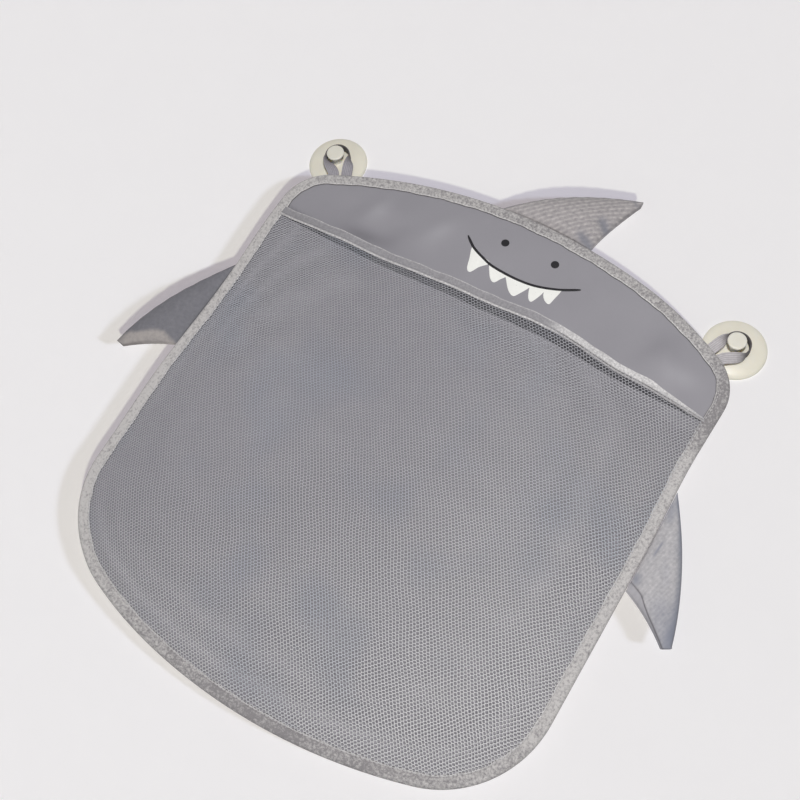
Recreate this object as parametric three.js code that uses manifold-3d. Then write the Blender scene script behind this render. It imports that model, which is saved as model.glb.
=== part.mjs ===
// Bath toy organizer: a flat fabric bag in the shape of a shark, which hangs on two suction cups.
// Millimetres, +X to the right, +Z up, front towards -Y. The wall is the plane y = 0, and the
// origin lies on it, midway between the two cups.
import * as THREE from "three";
import { TessellateModifier } from "three/addons/modifiers/TessellateModifier.js";
import { mergeGeometries, mergeVertices } from "three/addons/utils/BufferGeometryUtils.js";
import Module from "manifold-3d";

const wasm = await Module();
wasm.setup();

// Place of the cups and the bag
const cupSpan = 314;
const seamToCup = 15.9;
const wallToPanel = 9;
const clearance = 0.3;

// Outline of the bag, measured over its binding
const bodyWidth = 342;
const bodyHeight = 384;
const crownRadius = 346;
const shoulderRadius = 34.5;
const cornerRadius = 75.5;
const baseRadius = 384;

// Back panel and the binding rolled round its edge
const panelThickness = 1.2;
const bindingWidth = 7;
const bindingThickness = 4.4;

// Pocket of net with a folded tape along its mouth
const mouthDrop = 57;
const mouthSag = 1.5;
const netThickness = 0.8;
const hemWidth = 7;
const hemThickness = 2;
const hemRound = 0.6;
const pocketDepth = 27;
const mouthFullnessShare = 0.55;
const pocketArchShare = 0.2;
const fullestDrop = 200;
const netPitch = 24;
const netStrand = 3.4;
const netMargin = 6;

// Stuffed fins. The two side fins are alike, the one on top leans to the right.
const skinThickness = 0.8;
const finFlare = 1.4;
const sideFin = {
  base: 65, reach: 39, sweep: 21, tip: 6, thickness: 13,
  leadShares: [0.36, 0.62], trailShares: [0.42, 0.46],
};
const topFin = {
  base: 69, reach: 48, sweep: 14, tip: 5, thickness: 15,
  leadShares: [0.52, 0.73], trailShares: [0.12, 0.28],
};
const sideFinDrop = 112;
const topFinShift = 6.5;

// Webbing loops
const webWidth = 7;
const webThickness = 1.2;
const legGap = 2.4;

// Suction cups, turned on the Y axis
const cupRadius = 21;
const rimWidth = 1.6;
const lipThickness = 0.9;
const cupHollow = 2.4;
const neckRadius = 3.8;
const knobRadius = 6.3;
const knobLength = 7.4;

// Fineness of the faceting, and the shares that shape the stuffed and bulging forms
const crownSteps = 10;
const shoulderSteps = 6;
const cornerSteps = 9;
const baseSteps = 8;
const mouthSteps = 30;
const roundSteps = 6;
const finSteps = 7;
const loopSteps = 14;
const legSteps = 6;
const turnSteps = 30;
const gapSides = 4;
const facetLength = 28;
const splitRounds = 8;
const finRootShare = 0.12;
const finTipShare = 0.3;

// Sizes that follow from the ones above
const halfWidth = bodyWidth / 2;
const crownCentre = new THREE.Vector2(0, -Math.sqrt((crownRadius + seamToCup) ** 2 - (cupSpan / 2) ** 2));
const crownTop = crownCentre.y + crownRadius;
const baseCentre = new THREE.Vector2(0, crownTop - bodyHeight + baseRadius);
const shoulderCentre = tangentCentre(crownCentre, crownRadius, shoulderRadius, 1);
const cornerCentre = tangentCentre(baseCentre, baseRadius, cornerRadius, -1);
const panelFront = wallToPanel + panelThickness / 2;
const pocketPlane = panelFront + clearance + hemThickness / 2;
const seamInset = bindingWidth + clearance;
const bindingRound = bindingThickness / 2;

// Finishes
const finishes = {
  panel: new THREE.MeshStandardMaterial({ color: 0x95949a, roughness: 0.55, metalness: 0 }),
  binding: new THREE.MeshStandardMaterial({ color: 0x8e8c8f, roughness: 0.9, metalness: 0 }),
  net: new THREE.MeshStandardMaterial({ color: 0xa3a4a9, roughness: 0.8, metalness: 0 }),
  fin: new THREE.MeshStandardMaterial({ color: 0x8b8a92, roughness: 0.85, metalness: 0 }),
  filling: new THREE.MeshStandardMaterial({ color: 0xe9e9e6, roughness: 1, metalness: 0 }),
  webbing: new THREE.MeshStandardMaterial({ color: 0x8c8a90, roughness: 0.85, metalness: 0 }),
  silicone: new THREE.MeshStandardMaterial({ color: 0xe4dfd2, roughness: 0.35, metalness: 0 }),
};

// The centre of a small arc that touches a large one from inside and the bag's straight side.
// The side is 1 for an arc above the large one's centre and -1 for one below it.
function tangentCentre(largeCentre, largeRadius, radius, side) {
  const x = halfWidth - radius;
  return new THREE.Vector2(x, largeCentre.y + side * Math.sqrt((largeRadius - radius) ** 2 - x ** 2));
}

// Stations along an arc: each has a point and the direction out of the bag there.
function arcStations(centre, radius, from, to, steps) {
  const stations = [];
  for (let i = 0; i <= steps; i += 1) {
    const angle = from + ((to - from) * i) / steps;
    const out = new THREE.Vector2(Math.cos(angle), Math.sin(angle));
    stations.push({ at: centre.clone().addScaledVector(out, radius), out });
  }
  return stations;
}

// The right half of the outline, from the crown down to the middle of the base.
function rightStations() {
  const crownEnd = shoulderCentre.clone().sub(crownCentre).angle();
  const cornerEnd = cornerCentre.clone().sub(baseCentre).angle() - 2 * Math.PI;
  return [
    ...arcStations(crownCentre, crownRadius, Math.PI / 2, crownEnd, crownSteps),
    ...arcStations(shoulderCentre, shoulderRadius, crownEnd, 0, shoulderSteps).slice(1),
    ...arcStations(cornerCentre, cornerRadius, 0, cornerEnd, cornerSteps),
    ...arcStations(baseCentre, baseRadius, cornerEnd, -Math.PI / 2, baseSteps).slice(1),
  ];
}

function mirrored(station) {
  return {
    at: new THREE.Vector2(-station.at.x, station.at.y),
    out: new THREE.Vector2(-station.out.x, station.out.y),
  };
}

// The whole outline, clockwise from the middle of the crown.
function outlineStations() {
  const right = rightStations();
  const left = right.slice(1, -1).reverse().map(mirrored);
  return [...right, ...left];
}

// The outline's points, moved into the bag.
function insetPoints(stations, inset) {
  return stations.map(({ at, out }) => at.clone().addScaledVector(out, -inset));
}

// A geometry from a list of points and triangles, turned so that its faces point out.
function closedGeometry(points, triangles) {
  let volume = 0;
  for (const [a, b, c] of triangles) {
    volume += points[a].dot(points[b].clone().cross(points[c]));
  }
  const index = triangles.flatMap(([a, b, c]) => (volume < 0 ? [a, c, b] : [a, b, c]));
  const geometry = new THREE.BufferGeometry().setFromPoints(points);
  geometry.setIndex(index);
  geometry.computeVertexNormals();
  return geometry;
}

// A section carried through a row of rings, closed on itself or capped at both ends. The section
// runs counterclockwise, and each ring has one point for each of its points.
function loft(rings, section, closed) {
  const count = section.length;
  const triangles = [];
  const spans = closed ? rings.length : rings.length - 1;
  for (let r = 0; r < spans; r += 1) {
    const here = r * count;
    const next = ((r + 1) % rings.length) * count;
    for (let k = 0; k < count; k += 1) {
      const side = (k + 1) % count;
      triangles.push([here + k, here + side, next + side], [here + k, next + side, next + k]);
    }
  }
  if (!closed) {
    const last = (rings.length - 1) * count;
    for (const [a, b, c] of THREE.ShapeUtils.triangulateShape(section, [])) {
      triangles.push([a, c, b], [last + a, last + b, last + c]);
    }
  }
  return closedGeometry(rings.flat(), triangles);
}

// A slab between two surfaces over the same grid, with walls along its four edges.
function slab(columns, rows, front, rear) {
  const points = [];
  const triangles = [];
  for (const surface of [front, rear]) {
    for (let j = 0; j <= rows; j += 1) {
      for (let i = 0; i <= columns; i += 1) points.push(surface(i / columns, j / rows));
    }
  }
  const half = points.length / 2;
  const at = (i, j) => j * (columns + 1) + i;
  for (let j = 0; j < rows; j += 1) {
    for (let i = 0; i < columns; i += 1) {
      const quad = [at(i, j), at(i + 1, j), at(i + 1, j + 1), at(i, j + 1)];
      triangles.push([quad[0], quad[1], quad[2]], [quad[0], quad[2], quad[3]]);
      const [p, q, r, s] = quad.map((k) => k + half);
      triangles.push([p, r, q], [p, s, r]);
    }
  }
  const border = [];
  for (let i = 0; i < columns; i += 1) border.push(at(i, 0));
  for (let j = 0; j < rows; j += 1) border.push(at(columns, j));
  for (let i = columns; i > 0; i -= 1) border.push(at(i, rows));
  for (let j = rows; j > 0; j -= 1) border.push(at(0, j));
  border.forEach((k, n) => {
    const next = border[(n + 1) % border.length];
    triangles.push([k, k + half, next + half], [k, next + half, next]);
  });
  return closedGeometry(points, triangles);
}

function named(name, geometry, material) {
  const mesh = new THREE.Mesh(geometry, material);
  mesh.name = name;
  return mesh;
}

// A flat sheet whose shape lies in the XZ plane, between two distances from the wall.
function sheetGeometry(shape, rear, thickness) {
  const geometry = new THREE.ExtrudeGeometry(shape, { depth: thickness, bevelEnabled: false });
  return geometry.rotateX(Math.PI / 2).translate(0, -rear, 0);
}

function backPanel() {
  const inset = bindingRound + clearance;
  const shape = new THREE.Shape(insetPoints(outlineStations(), inset));
  return sheetGeometry(shape, wallToPanel - panelThickness / 2, panelThickness);
}

// The binding's section: a rolled outer edge and two legs that reach over the panel's two faces.
// Each point is its distance inside the outline and its height over the panel's middle plane.
function bindingSection() {
  const slot = panelThickness / 2 + clearance;
  const section = [];
  for (let i = 0; i <= roundSteps; i += 1) {
    const angle = Math.PI / 2 + (Math.PI * i) / roundSteps;
    section.push([bindingRound * (1 + Math.cos(angle)), bindingRound * Math.sin(angle)]);
  }
  section.push([bindingWidth, -bindingRound], [bindingWidth, -slot], [bindingRound, -slot]);
  section.push([bindingRound, slot], [bindingWidth, slot], [bindingWidth, bindingRound]);
  return section.map(([inset, height]) => new THREE.Vector2(inset, height));
}

function edgeBinding() {
  const section = bindingSection();
  const rings = outlineStations().map(({ at, out }) =>
    section.map(({ x: inset, y: height }) => {
      const p = at.clone().addScaledVector(out, -inset);
      return new THREE.Vector3(p.x, -wallToPanel - height, p.y);
    }));
  return loft(rings, section, true);
}

// How far a point of the pocket lies inside the sewn edge, which is open at the mouth.
function seamDistance(x, z) {
  const fromCorner = new THREE.Vector2(Math.abs(x), z).sub(cornerCentre);
  const fromBase = new THREE.Vector2(Math.abs(x), z).sub(baseCentre);
  const steep = fromBase.angle() > cornerCentre.clone().sub(baseCentre).angle();
  if (fromCorner.y < 0 && fromCorner.x > 0 && steep) {
    return cornerRadius - fromCorner.length() - seamInset;
  }
  return Math.min(halfWidth - Math.abs(x), baseRadius - fromBase.length()) - seamInset;
}

// How far the net stands out in front of the plane that it is sewn in: it rises from the sewn
// edge over the width of a corner, arches across and is drawn in towards the mouth.
function pocketRise(x, z) {
  const rise = THREE.MathUtils.clamp(seamDistance(x, z) / (cornerRadius - seamInset), 0, 1);
  const arch = 1 - pocketArchShare * (x / halfWidth) ** 2;
  const foot = -mouthDrop - hemWidth / 2 - netPitch / 2;
  const up = THREE.MathUtils.clamp((z + fullestDrop) / (foot + fullestDrop), 0, 1);
  const mouth = 1 - (1 - mouthFullnessShare) * up ** 2;
  return pocketDepth * (1 - (1 - rise) ** 2) * arch * mouth;
}

// Places along the mouth, from one sewn edge to the other.
function mouthPlaces() {
  const end = halfWidth - seamInset;
  return Array.from({ length: mouthSteps + 1 }, (_, i) => end * ((2 * i) / mouthSteps - 1));
}

// The height of the tape's middle line, which sags a little in the middle of the mouth.
function mouthLine(x) {
  return -mouthDrop - mouthSag * (1 - (x / halfWidth) ** 2);
}

// The pocket's outline: the sewn edge below the mouth, closed along the lower edge of the tape.
function pocketOutline() {
  const lip = hemWidth / 2 + clearance;
  const sewn = insetPoints(outlineStations(), seamInset).filter((p) => p.y < -mouthDrop - lip);
  return [...sewn, ...mouthPlaces().map((x) => new THREE.Vector2(x, mouthLine(x) - lip))];
}

// A geometry as a solid that can be cut, with its shared corners merged.
function solidOf(geometry) {
  geometry.deleteAttribute("normal");
  geometry.deleteAttribute("uv");
  const merged = mergeVertices(geometry);
  const vertProperties = merged.getAttribute("position").array;
  return new wasm.Manifold(new wasm.Mesh({
    numProp: 3, vertProperties, triVerts: Uint32Array.from(merged.index.array),
  }));
}

function geometryOf(solid) {
  const { vertProperties, triVerts } = solid.getMesh();
  const geometry = new THREE.BufferGeometry();
  geometry.setAttribute("position", new THREE.BufferAttribute(vertProperties, 3));
  geometry.setIndex(new THREE.BufferAttribute(triVerts, 1));
  return geometry;
}

// Diamond gaps in staggered rows, all that fit inside the sewn edge and under the tape.
function netGaps() {
  const reach = (netPitch - netStrand) / 2;
  const highest = -mouthDrop - hemWidth / 2 - reach - netStrand;
  const rows = Math.floor((bodyHeight - mouthDrop) / (netPitch / 2));
  const columns = Math.ceil(halfWidth / netPitch);
  const gaps = [];
  for (let row = 0; row < rows; row += 1) {
    const shift = (row % 2) * (netPitch / 2);
    for (let column = -columns; column <= columns; column += 1) {
      const x = column * netPitch + shift;
      const z = highest - (row * netPitch) / 2;
      const corners = [[reach, 0], [0, reach], [-reach, 0], [0, -reach]];
      if (corners.every(([right, up]) => seamDistance(x + right, z + up) > netMargin)) {
        const gap = new THREE.CylinderGeometry(reach, reach, 2 * netThickness, gapSides);
        gaps.push(gap.translate(x, -pocketPlane, z));
      }
    }
  }
  return mergeGeometries(gaps);
}

// The net is cut flat, its long facets are split, and then it is drawn out to the bulge.
function pocketNet() {
  const shape = new THREE.Shape(pocketOutline());
  const plate = sheetGeometry(shape, pocketPlane - netThickness / 2, netThickness);
  const cut = geometryOf(solidOf(plate).subtract(solidOf(netGaps())));
  const geometry = mergeVertices(new TessellateModifier(facetLength, splitRounds).modify(cut));
  const places = geometry.getAttribute("position");
  for (let i = 0; i < places.count; i += 1) {
    places.setY(i, places.getY(i) - pocketRise(places.getX(i), places.getZ(i)));
  }
  geometry.computeVertexNormals();
  return geometry;
}

// The hem is a tape folded over the net's upper edge and sewn flat, with rounded edges.
function pocketHem() {
  const through = hemThickness / 2;
  const up = hemWidth / 2;
  const section = [
    [through - hemRound, -up], [through, hemRound - up], [through, up - hemRound], [through - hemRound, up],
    [hemRound - through, up], [-through, up - hemRound], [-through, hemRound - up], [hemRound - through, -up],
  ].map(([depth, height]) => new THREE.Vector2(depth, height));
  const rings = mouthPlaces().map((x) => {
    const middle = pocketPlane + pocketRise(x, -mouthDrop);
    return section.map(({ x: depth, y: height }) =>
      new THREE.Vector3(x, -middle - depth, mouthLine(x) + height));
  });
  return loft(rings, section, false);
}

// A point on a curve through a start and an end, drawn towards a third point between them.
function bent(start, pull, end, t) {
  return start.clone().multiplyScalar((1 - t) ** 2)
    .addScaledVector(pull, 2 * t * (1 - t))
    .addScaledVector(end, t ** 2);
}

// A fin's plan. The first share runs from the leading edge to the trailing one, the second from
// the sewn root to the tip. The result is along the seam and out from it.
function finPlan(fin, across, along) {
  const tip = new THREE.Vector2(fin.base + fin.sweep, fin.reach);
  const lead = bent(
    new THREE.Vector2(0, 0),
    new THREE.Vector2(fin.leadShares[0] * fin.base, fin.leadShares[1] * fin.reach), tip, along);
  const trail = bent(
    new THREE.Vector2(fin.base, 0),
    new THREE.Vector2(fin.base + fin.trailShares[0] * fin.sweep, fin.trailShares[1] * fin.reach),
    tip.clone().add(new THREE.Vector2(0, -fin.tip)), along);
  return lead.lerp(trail, across);
}

// Half the filling's height: nothing at the two edges, full a third of the way out, and drawn
// in at the seam and at the tip.
function finSwell(fin, across, along) {
  const crown = Math.sqrt(4 * across * (1 - across));
  const ends = THREE.MathUtils.lerp(finRootShare, finTipShare, along);
  const swell = ends + (1 - ends) * Math.sin(Math.PI * along ** (1 / finFlare));
  return (fin.thickness / 2 - skinThickness) * crown * swell;
}

// The three pieces of a fin: front skin, rear skin and filling, which keeps one grid step inside
// the skins' edge. The seat turns a place in the fin's plan into one on the bag.
function finPieces(name, fin, seat) {
  const coreSteps = finSteps - 2;
  const place = (across, along, height) => {
    const p = finPlan(fin, across, along);
    const on = seat(p.x, p.y, along);
    return new THREE.Vector3(on.x, -wallToPanel - height, on.y);
  };
  const skin = (side) => (depth) => (across, along) =>
    place(across, along, side * (clearance / 2 + finSwell(fin, across, along) + depth));
  const inside = (share) => (1 + share * coreSteps) / finSteps;
  const core = (side) => (across, along) => {
    const a = inside(across);
    const b = inside(along);
    return place(a, b, side * (finSwell(fin, a, b) - clearance / 2));
  };
  const front = skin(1);
  const rear = skin(-1);
  return [
    named(`${name}_front_skin`, slab(finSteps, finSteps, front(skinThickness), front(0)), finishes.fin),
    named(`${name}_rear_skin`, slab(finSteps, finSteps, rear(0), rear(skinThickness)), finishes.fin),
    named(`${name}_filling`, slab(coreSteps, coreSteps, core(1), core(-1)), finishes.filling),
  ];
}

// A side fin is sewn to the straight side, so its plan hangs down from the top of its base.
function sideFinSeat(side) {
  return (down, out) => new THREE.Vector2(side * (halfWidth + clearance + out), -sideFinDrop - down);
}

// The top fin follows the crown at its root and straightens towards its tip.
function topFinSeat(along, out, share) {
  const x = along - topFin.base / 2 + topFinShift;
  const sag = crownRadius - Math.sqrt(crownRadius ** 2 - x ** 2);
  return new THREE.Vector2(x, crownTop + clearance + out - sag * (1 - share) ** 2);
}

// The way from the crown's centre to a cup's axis, which the loop stands along.
function cupDirection(side) {
  return new THREE.Vector2((side * cupSpan) / 2, 0).sub(crownCentre).normalize();
}

// The middle line of a loop with the way its width lies: along the seam at the two feet, and
// along the neck where it goes round it. Places are across the loop and out from the seam.
function loopStations() {
  const turn = neckRadius + clearance + webThickness / 2;
  const foot = (legGap + webWidth) / 2;
  const stations = [];
  for (let i = 0; i <= legSteps; i += 1) {
    const share = i / legSteps;
    const across = THREE.MathUtils.lerp(-foot, -turn, THREE.MathUtils.smoothstep(share, 0, 1));
    stations.push({ across, out: clearance + (seamToCup - clearance) * share, twist: share });
  }
  for (let i = 1; i < loopSteps; i += 1) {
    const angle = Math.PI * (1 - i / loopSteps);
    stations.push({ across: turn * Math.cos(angle), out: seamToCup + turn * Math.sin(angle), twist: 1 });
  }
  const rising = stations.slice(0, legSteps + 1).reverse();
  const falling = rising.map(({ across, out, twist }) => ({ across: -across, out, twist: 2 - twist }));
  return [...stations, ...falling];
}

// A webbing loop. At each station the section turns about the middle line by the twist, a
// quarter turn on each leg.
function webbingLoop(side) {
  const section = [[-1, -1], [1, -1], [1, 1], [-1, 1]]
    .map(([across, through]) => new THREE.Vector2((across * webWidth) / 2, (through * webThickness) / 2));
  const outward = cupDirection(side);
  const sideways = new THREE.Vector2(outward.y, -outward.x);
  const foot = crownCentre.clone().addScaledVector(outward, crownRadius);
  const wallward = new THREE.Vector3(0, 1, 0);
  const inBag = (across, out) => {
    const p = foot.clone().addScaledVector(sideways, across).addScaledVector(outward, out);
    return new THREE.Vector3(p.x, -wallToPanel, p.y);
  };
  const stations = loopStations();
  const middles = stations.map(({ across, out }) => inBag(across, out));
  const rings = stations.map(({ twist }, i) => {
    const before = middles[Math.max(i - 1, 0)];
    const after = middles[Math.min(i + 1, middles.length - 1)];
    const along = after.clone().sub(before).normalize();
    const level = wallward.clone().cross(along).normalize();
    const angle = (Math.PI / 2) * (1 - twist);
    const width = wallward.clone().multiplyScalar(Math.cos(angle)).addScaledVector(level, Math.sin(angle));
    const thick = along.clone().cross(width).normalize();
    return section.map(({ x, y }) =>
      middles[i].clone().addScaledVector(width, x).addScaledVector(thick, y));
  });
  return loft(rings, section, false);
}

// A suction cup's profile from the end of its knob, over the neck and the disc, to the hollow.
function suctionCup(side) {
  const neckTop = wallToPanel + webWidth / 2 + clearance;
  const neckFoot = wallToPanel - webWidth / 2 - clearance;
  const knobEnd = neckTop + knobLength;
  const knobMiddle = neckTop + knobLength / 2;
  const profile = [[0, knobEnd]];
  for (let i = 1; i <= roundSteps; i += 1) {
    const angle = (Math.PI / 2) * (1 - i / roundSteps);
    profile.push([knobRadius * Math.cos(angle), knobMiddle + (knobLength / 2) * Math.sin(angle)]);
  }
  profile.push([(knobRadius + neckRadius) / 2, (knobMiddle + neckTop) / 2]);
  profile.push([neckRadius, neckTop], [neckRadius, neckFoot]);
  for (let i = 1; i <= roundSteps; i += 1) {
    const angle = (Math.PI / 2) * (i / roundSteps);
    const radius = neckRadius + clearance + (cupRadius - neckRadius - clearance) * Math.sin(angle);
    profile.push([radius, lipThickness + (neckFoot - lipThickness) * Math.cos(angle)]);
  }
  profile.push([cupRadius, 0], [cupRadius - rimWidth, 0]);
  for (let i = 1; i <= roundSteps; i += 1) {
    const angle = (Math.PI / 2) * (i / roundSteps);
    profile.push([(cupRadius - rimWidth) * Math.cos(angle), cupHollow * Math.sin(angle)]);
  }
  profile[profile.length - 1][0] = 0;
  const points = profile.map(([radius, height]) => new THREE.Vector2(radius, -height));
  return new THREE.LatheGeometry(points, turnSteps).translate((side * cupSpan) / 2, 0, 0);
}

const organizer = new THREE.Group();
organizer.add(named("back_panel", backPanel(), finishes.panel));
organizer.add(named("edge_binding", edgeBinding(), finishes.binding));
organizer.add(named("pocket_net", pocketNet(), finishes.net));
organizer.add(named("pocket_hem", pocketHem(), finishes.binding));
organizer.add(...finPieces("top_fin", topFin, topFinSeat));
for (const [name, side] of [["left", -1], ["right", 1]]) {
  organizer.add(...finPieces(`${name}_fin`, sideFin, sideFinSeat(side)));
  organizer.add(named(`${name}_loop`, webbingLoop(side), finishes.webbing));
  organizer.add(named(`${name}_suction_cup`, suctionCup(side), finishes.silicone));
}

export default organizer;
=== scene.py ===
"""Hanging bath toy organizer in the shape of a shark: its dressed pieces, finishes, light and camera.

The classes hold their sizes in millimetres and every mesh is written in metres. +X is to the right as seen
from the front, +Z is up, the bag's front faces -Y, and the wall it hangs on is the plane y = 0.
"""
import logging
import math
from dataclasses import dataclass
from enum import Enum
from typing import Any, Callable, Optional, Sequence, Union

import bmesh
import bpy
import numpy as np
from mathutils import Matrix, Vector


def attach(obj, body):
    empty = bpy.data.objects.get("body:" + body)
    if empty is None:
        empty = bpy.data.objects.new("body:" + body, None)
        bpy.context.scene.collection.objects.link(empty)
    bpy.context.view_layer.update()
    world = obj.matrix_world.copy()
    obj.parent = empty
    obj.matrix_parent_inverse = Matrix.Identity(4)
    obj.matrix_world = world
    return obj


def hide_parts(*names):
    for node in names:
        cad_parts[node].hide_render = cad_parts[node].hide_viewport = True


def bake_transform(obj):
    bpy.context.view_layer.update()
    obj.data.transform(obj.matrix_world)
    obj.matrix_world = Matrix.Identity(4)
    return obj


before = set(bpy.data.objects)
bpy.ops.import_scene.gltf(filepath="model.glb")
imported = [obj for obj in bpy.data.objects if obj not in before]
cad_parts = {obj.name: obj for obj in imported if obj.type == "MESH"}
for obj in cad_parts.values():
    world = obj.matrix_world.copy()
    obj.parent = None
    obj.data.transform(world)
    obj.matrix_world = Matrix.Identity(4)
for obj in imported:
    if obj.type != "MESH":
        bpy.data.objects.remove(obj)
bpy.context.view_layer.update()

MM = 0.001
TURN = 2.0 * math.pi
log = logging.getLogger("bath_toy_organizer")

Array = np.ndarray
Faces = Union[Array, list[list[int]]]
Layers = Optional[dict[str, Array]]
Colour = tuple[float, float, float]
Triple = tuple[float, float, float]
Pair = tuple[float, float]
Line = tuple[Pair, ...]
Table = tuple[tuple[float, ...], ...]
Material = bpy.types.Material
Piece = bpy.types.Object


class Body(Enum):
    """The moving bodies of the bag, its pocket and its fins."""

    BAG = "bag"
    POCKET = "pocket_front"
    TOP_FIN = "top_fin"
    LEFT_FIN = "left_fin"
    RIGHT_FIN = "right_fin"


class Side(Enum):
    """The two sides of the bag, with their sign along X."""

    LEFT = -1
    RIGHT = 1

    @property
    def word(self) -> str:
        """The side's name in lower case."""
        return self.name.lower()


# ---------------------------------------------------------------- node boards


class Signal:
    """A node's output that can be used in sums, differences and products."""

    def __init__(self, board: "Board", socket: bpy.types.NodeSocket) -> None:
        """Wraps an output socket.

        Args:
            board: the board that the socket's node is on.
            socket: the output socket.
        """
        self.board = board
        self.socket = socket

    def maths(self, operation: str, *others: Union["Signal", float], flip: bool = False) -> "Signal":
        """Adds a Math node on this value.

        Args:
            operation: the Math node's operation.
            others: further operands.
            flip: whether this value comes second.

        Returns:
            The node's result.
        """
        operands = [self, *others]
        if flip:
            operands[0], operands[1] = operands[1], operands[0]
        node = self.board.node("ShaderNodeMath", {"operation": operation}, dict(enumerate(operands)))
        return Signal(self.board, node.outputs[0])

    def __add__(self, other: Union["Signal", float]) -> "Signal":
        """The sum with another value."""
        return self.maths("ADD", other)

    def __sub__(self, other: Union["Signal", float]) -> "Signal":
        """The difference from another value."""
        return self.maths("SUBTRACT", other)

    def __rsub__(self, other: float) -> "Signal":
        """A number less this value."""
        return self.maths("SUBTRACT", other, flip=True)

    def __mul__(self, other: Union["Signal", float]) -> "Signal":
        """The product with another value."""
        return self.maths("MULTIPLY", other)

    __radd__ = __add__
    __rmul__ = __mul__

    def sine(self) -> "Signal":
        """The sine of this value in radians."""
        return self.maths("SINE")

    def wave(self) -> "Signal":
        """The sine of this value in radians, as a share from 0 to 1."""
        return self.sine() * 0.5 + 0.5

    def clamped(self) -> "Signal":
        """This value kept between 0 and 1."""
        return self.maths("MAXIMUM", 0.0).maths("MINIMUM", 1.0)


class Board:
    """The nodes of one material or world."""

    def __init__(self, name: str, kind: str = "materials") -> None:
        """Makes an empty material or world.

        Args:
            name: its name.
            kind: the collection of bpy.data that it belongs to.
        """
        self.owner = getattr(bpy.data, kind).new(name)
        self.owner.use_nodes = True
        self.tree = self.owner.node_tree
        self.tree.nodes.clear()

    def node(self, kind: str, settings: dict[str, Any], inputs: dict[Union[str, int], Any]) -> bpy.types.Node:
        """Adds any node.

        Args:
            kind: the node's type.
            settings: attributes, which are set first.
            inputs: values or links of the node's sockets, by name or number.

        Returns:
            The node.
        """
        node = self.tree.nodes.new(kind)
        for key, value in settings.items():
            setattr(node, key, value)
        for key, value in inputs.items():
            source = value.socket if isinstance(value, Signal) else value
            if isinstance(source, bpy.types.NodeSocket):
                self.tree.links.new(source, node.inputs[key])
            else:
                node.inputs[key].default_value = source
        return node

    def signal(self, kind: str, settings: dict[str, Any], inputs: dict[Union[str, int], Any],
               output: Union[str, int] = 0) -> Signal:
        """Adds any node and wraps one of its outputs.

        Args:
            kind: the node's type.
            settings: attributes set first.
            inputs: values or links of the node's sockets.
            output: the output's name or number.

        Returns:
            The output.
        """
        return Signal(self, self.node(kind, settings, inputs).outputs[output])

    def places(self) -> Signal:
        """Object coordinates, in metres."""
        return self.signal("ShaderNodeTexCoord", {}, {}, "Object")

    def axes(self, vector: Signal) -> tuple[Signal, Signal, Signal]:
        """The three parts of a vector.

        Args:
            vector: the vector.

        Returns:
            Its x, y and z.
        """
        node = self.node("ShaderNodeSeparateXYZ", {}, {0: vector})
        return tuple(Signal(self, output) for output in node.outputs)

    def attribute(self, name: str) -> Signal:
        """A number stored on the mesh."""
        return self.signal("ShaderNodeAttribute", {"attribute_name": name}, {}, "Fac")

    def chart(self, name: str) -> Signal:
        """A piece's own UV map."""
        return self.signal("ShaderNodeUVMap", {"uv_map": name}, {}, "UV")

    def noise(self, places: Signal, size: float, detail: float = 2.0, roughness: float = 0.5) -> Signal:
        """Soft noise between 0 and 1.

        Args:
            places: the coordinates, in metres.
            size: the size of its patches in millimetres.
            detail: how many finer layers it has.
            roughness: how strong the finer layers are.

        Returns:
            The noise.
        """
        return self.signal("ShaderNodeTexNoise", {"noise_dimensions": "3D"},
                           {"Vector": places, "Scale": 1.0 / (size * MM), "Detail": detail,
                            "Roughness": roughness}, "Fac")

    def plain_weave(self, places: Signal, yarn: float) -> Signal:
        """The height of a plain weave, from 0 to 1.

        Args:
            places: the coordinates, in metres.
            yarn: the pitch of its yarns in millimetres.

        Returns:
            The height.
        """
        x, _, z = self.axes(places)
        turn = TURN / (yarn * MM)
        return ((x * turn).sine() * (z * turn).sine()) * 0.5 + 0.5

    def blend_colours(self, share: Union[Signal, float], first: Any, second: Any) -> Signal:
        """A mix of two colours.

        Args:
            share: how much of the second colour.
            first: the first colour or its link.
            second: the second colour or its link.

        Returns:
            The mixed colour.
        """
        def full(colour: Any) -> Any:
            """Adds the alpha to a plain colour."""
            return (*colour, 1.0) if isinstance(colour, tuple) and len(colour) == 3 else colour
        return self.signal("ShaderNodeMix", {"data_type": "RGBA"},
                           {0: share, 6: full(first), 7: full(second)}, 2)

    def relief(self, height: Signal, depth: float, strength: float = 1.0) -> Signal:
        """A bump.

        Args:
            height: the height from 0 to 1.
            depth: what a height of 1 is in millimetres.
            strength: the bump's strength.

        Returns:
            The bent normal.
        """
        return self.signal("ShaderNodeBump", {}, {"Height": height, "Distance": depth * MM,
                                                  "Strength": strength}, "Normal")

    def surface(self, inputs: dict[str, Any]) -> Material:
        """Closes the board with a Principled surface.

        Args:
            inputs: values or links of its sockets.

        Returns:
            The material.
        """
        shader = self.node("ShaderNodeBsdfPrincipled", {}, inputs)
        self.node("ShaderNodeOutputMaterial", {}, {"Surface": shader.outputs[0]})
        return self.owner


def tint(red: float, green: float, blue: float) -> Colour:
    """A colour written in 0 to 255 as light shares.

    Args:
        red: the red part.
        green: the green part.
        blue: the blue part.

    Returns:
        The same colour as linear shares.
    """
    def share(value: float) -> float:
        """One part, taken out of its display curve."""
        v = value / 255.0
        return v / 12.92 if v <= 0.04045 else ((v + 0.055) / 1.055) ** 2.4
    return share(red), share(green), share(blue)


# ------------------------------------------------------------------- finishes


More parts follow.
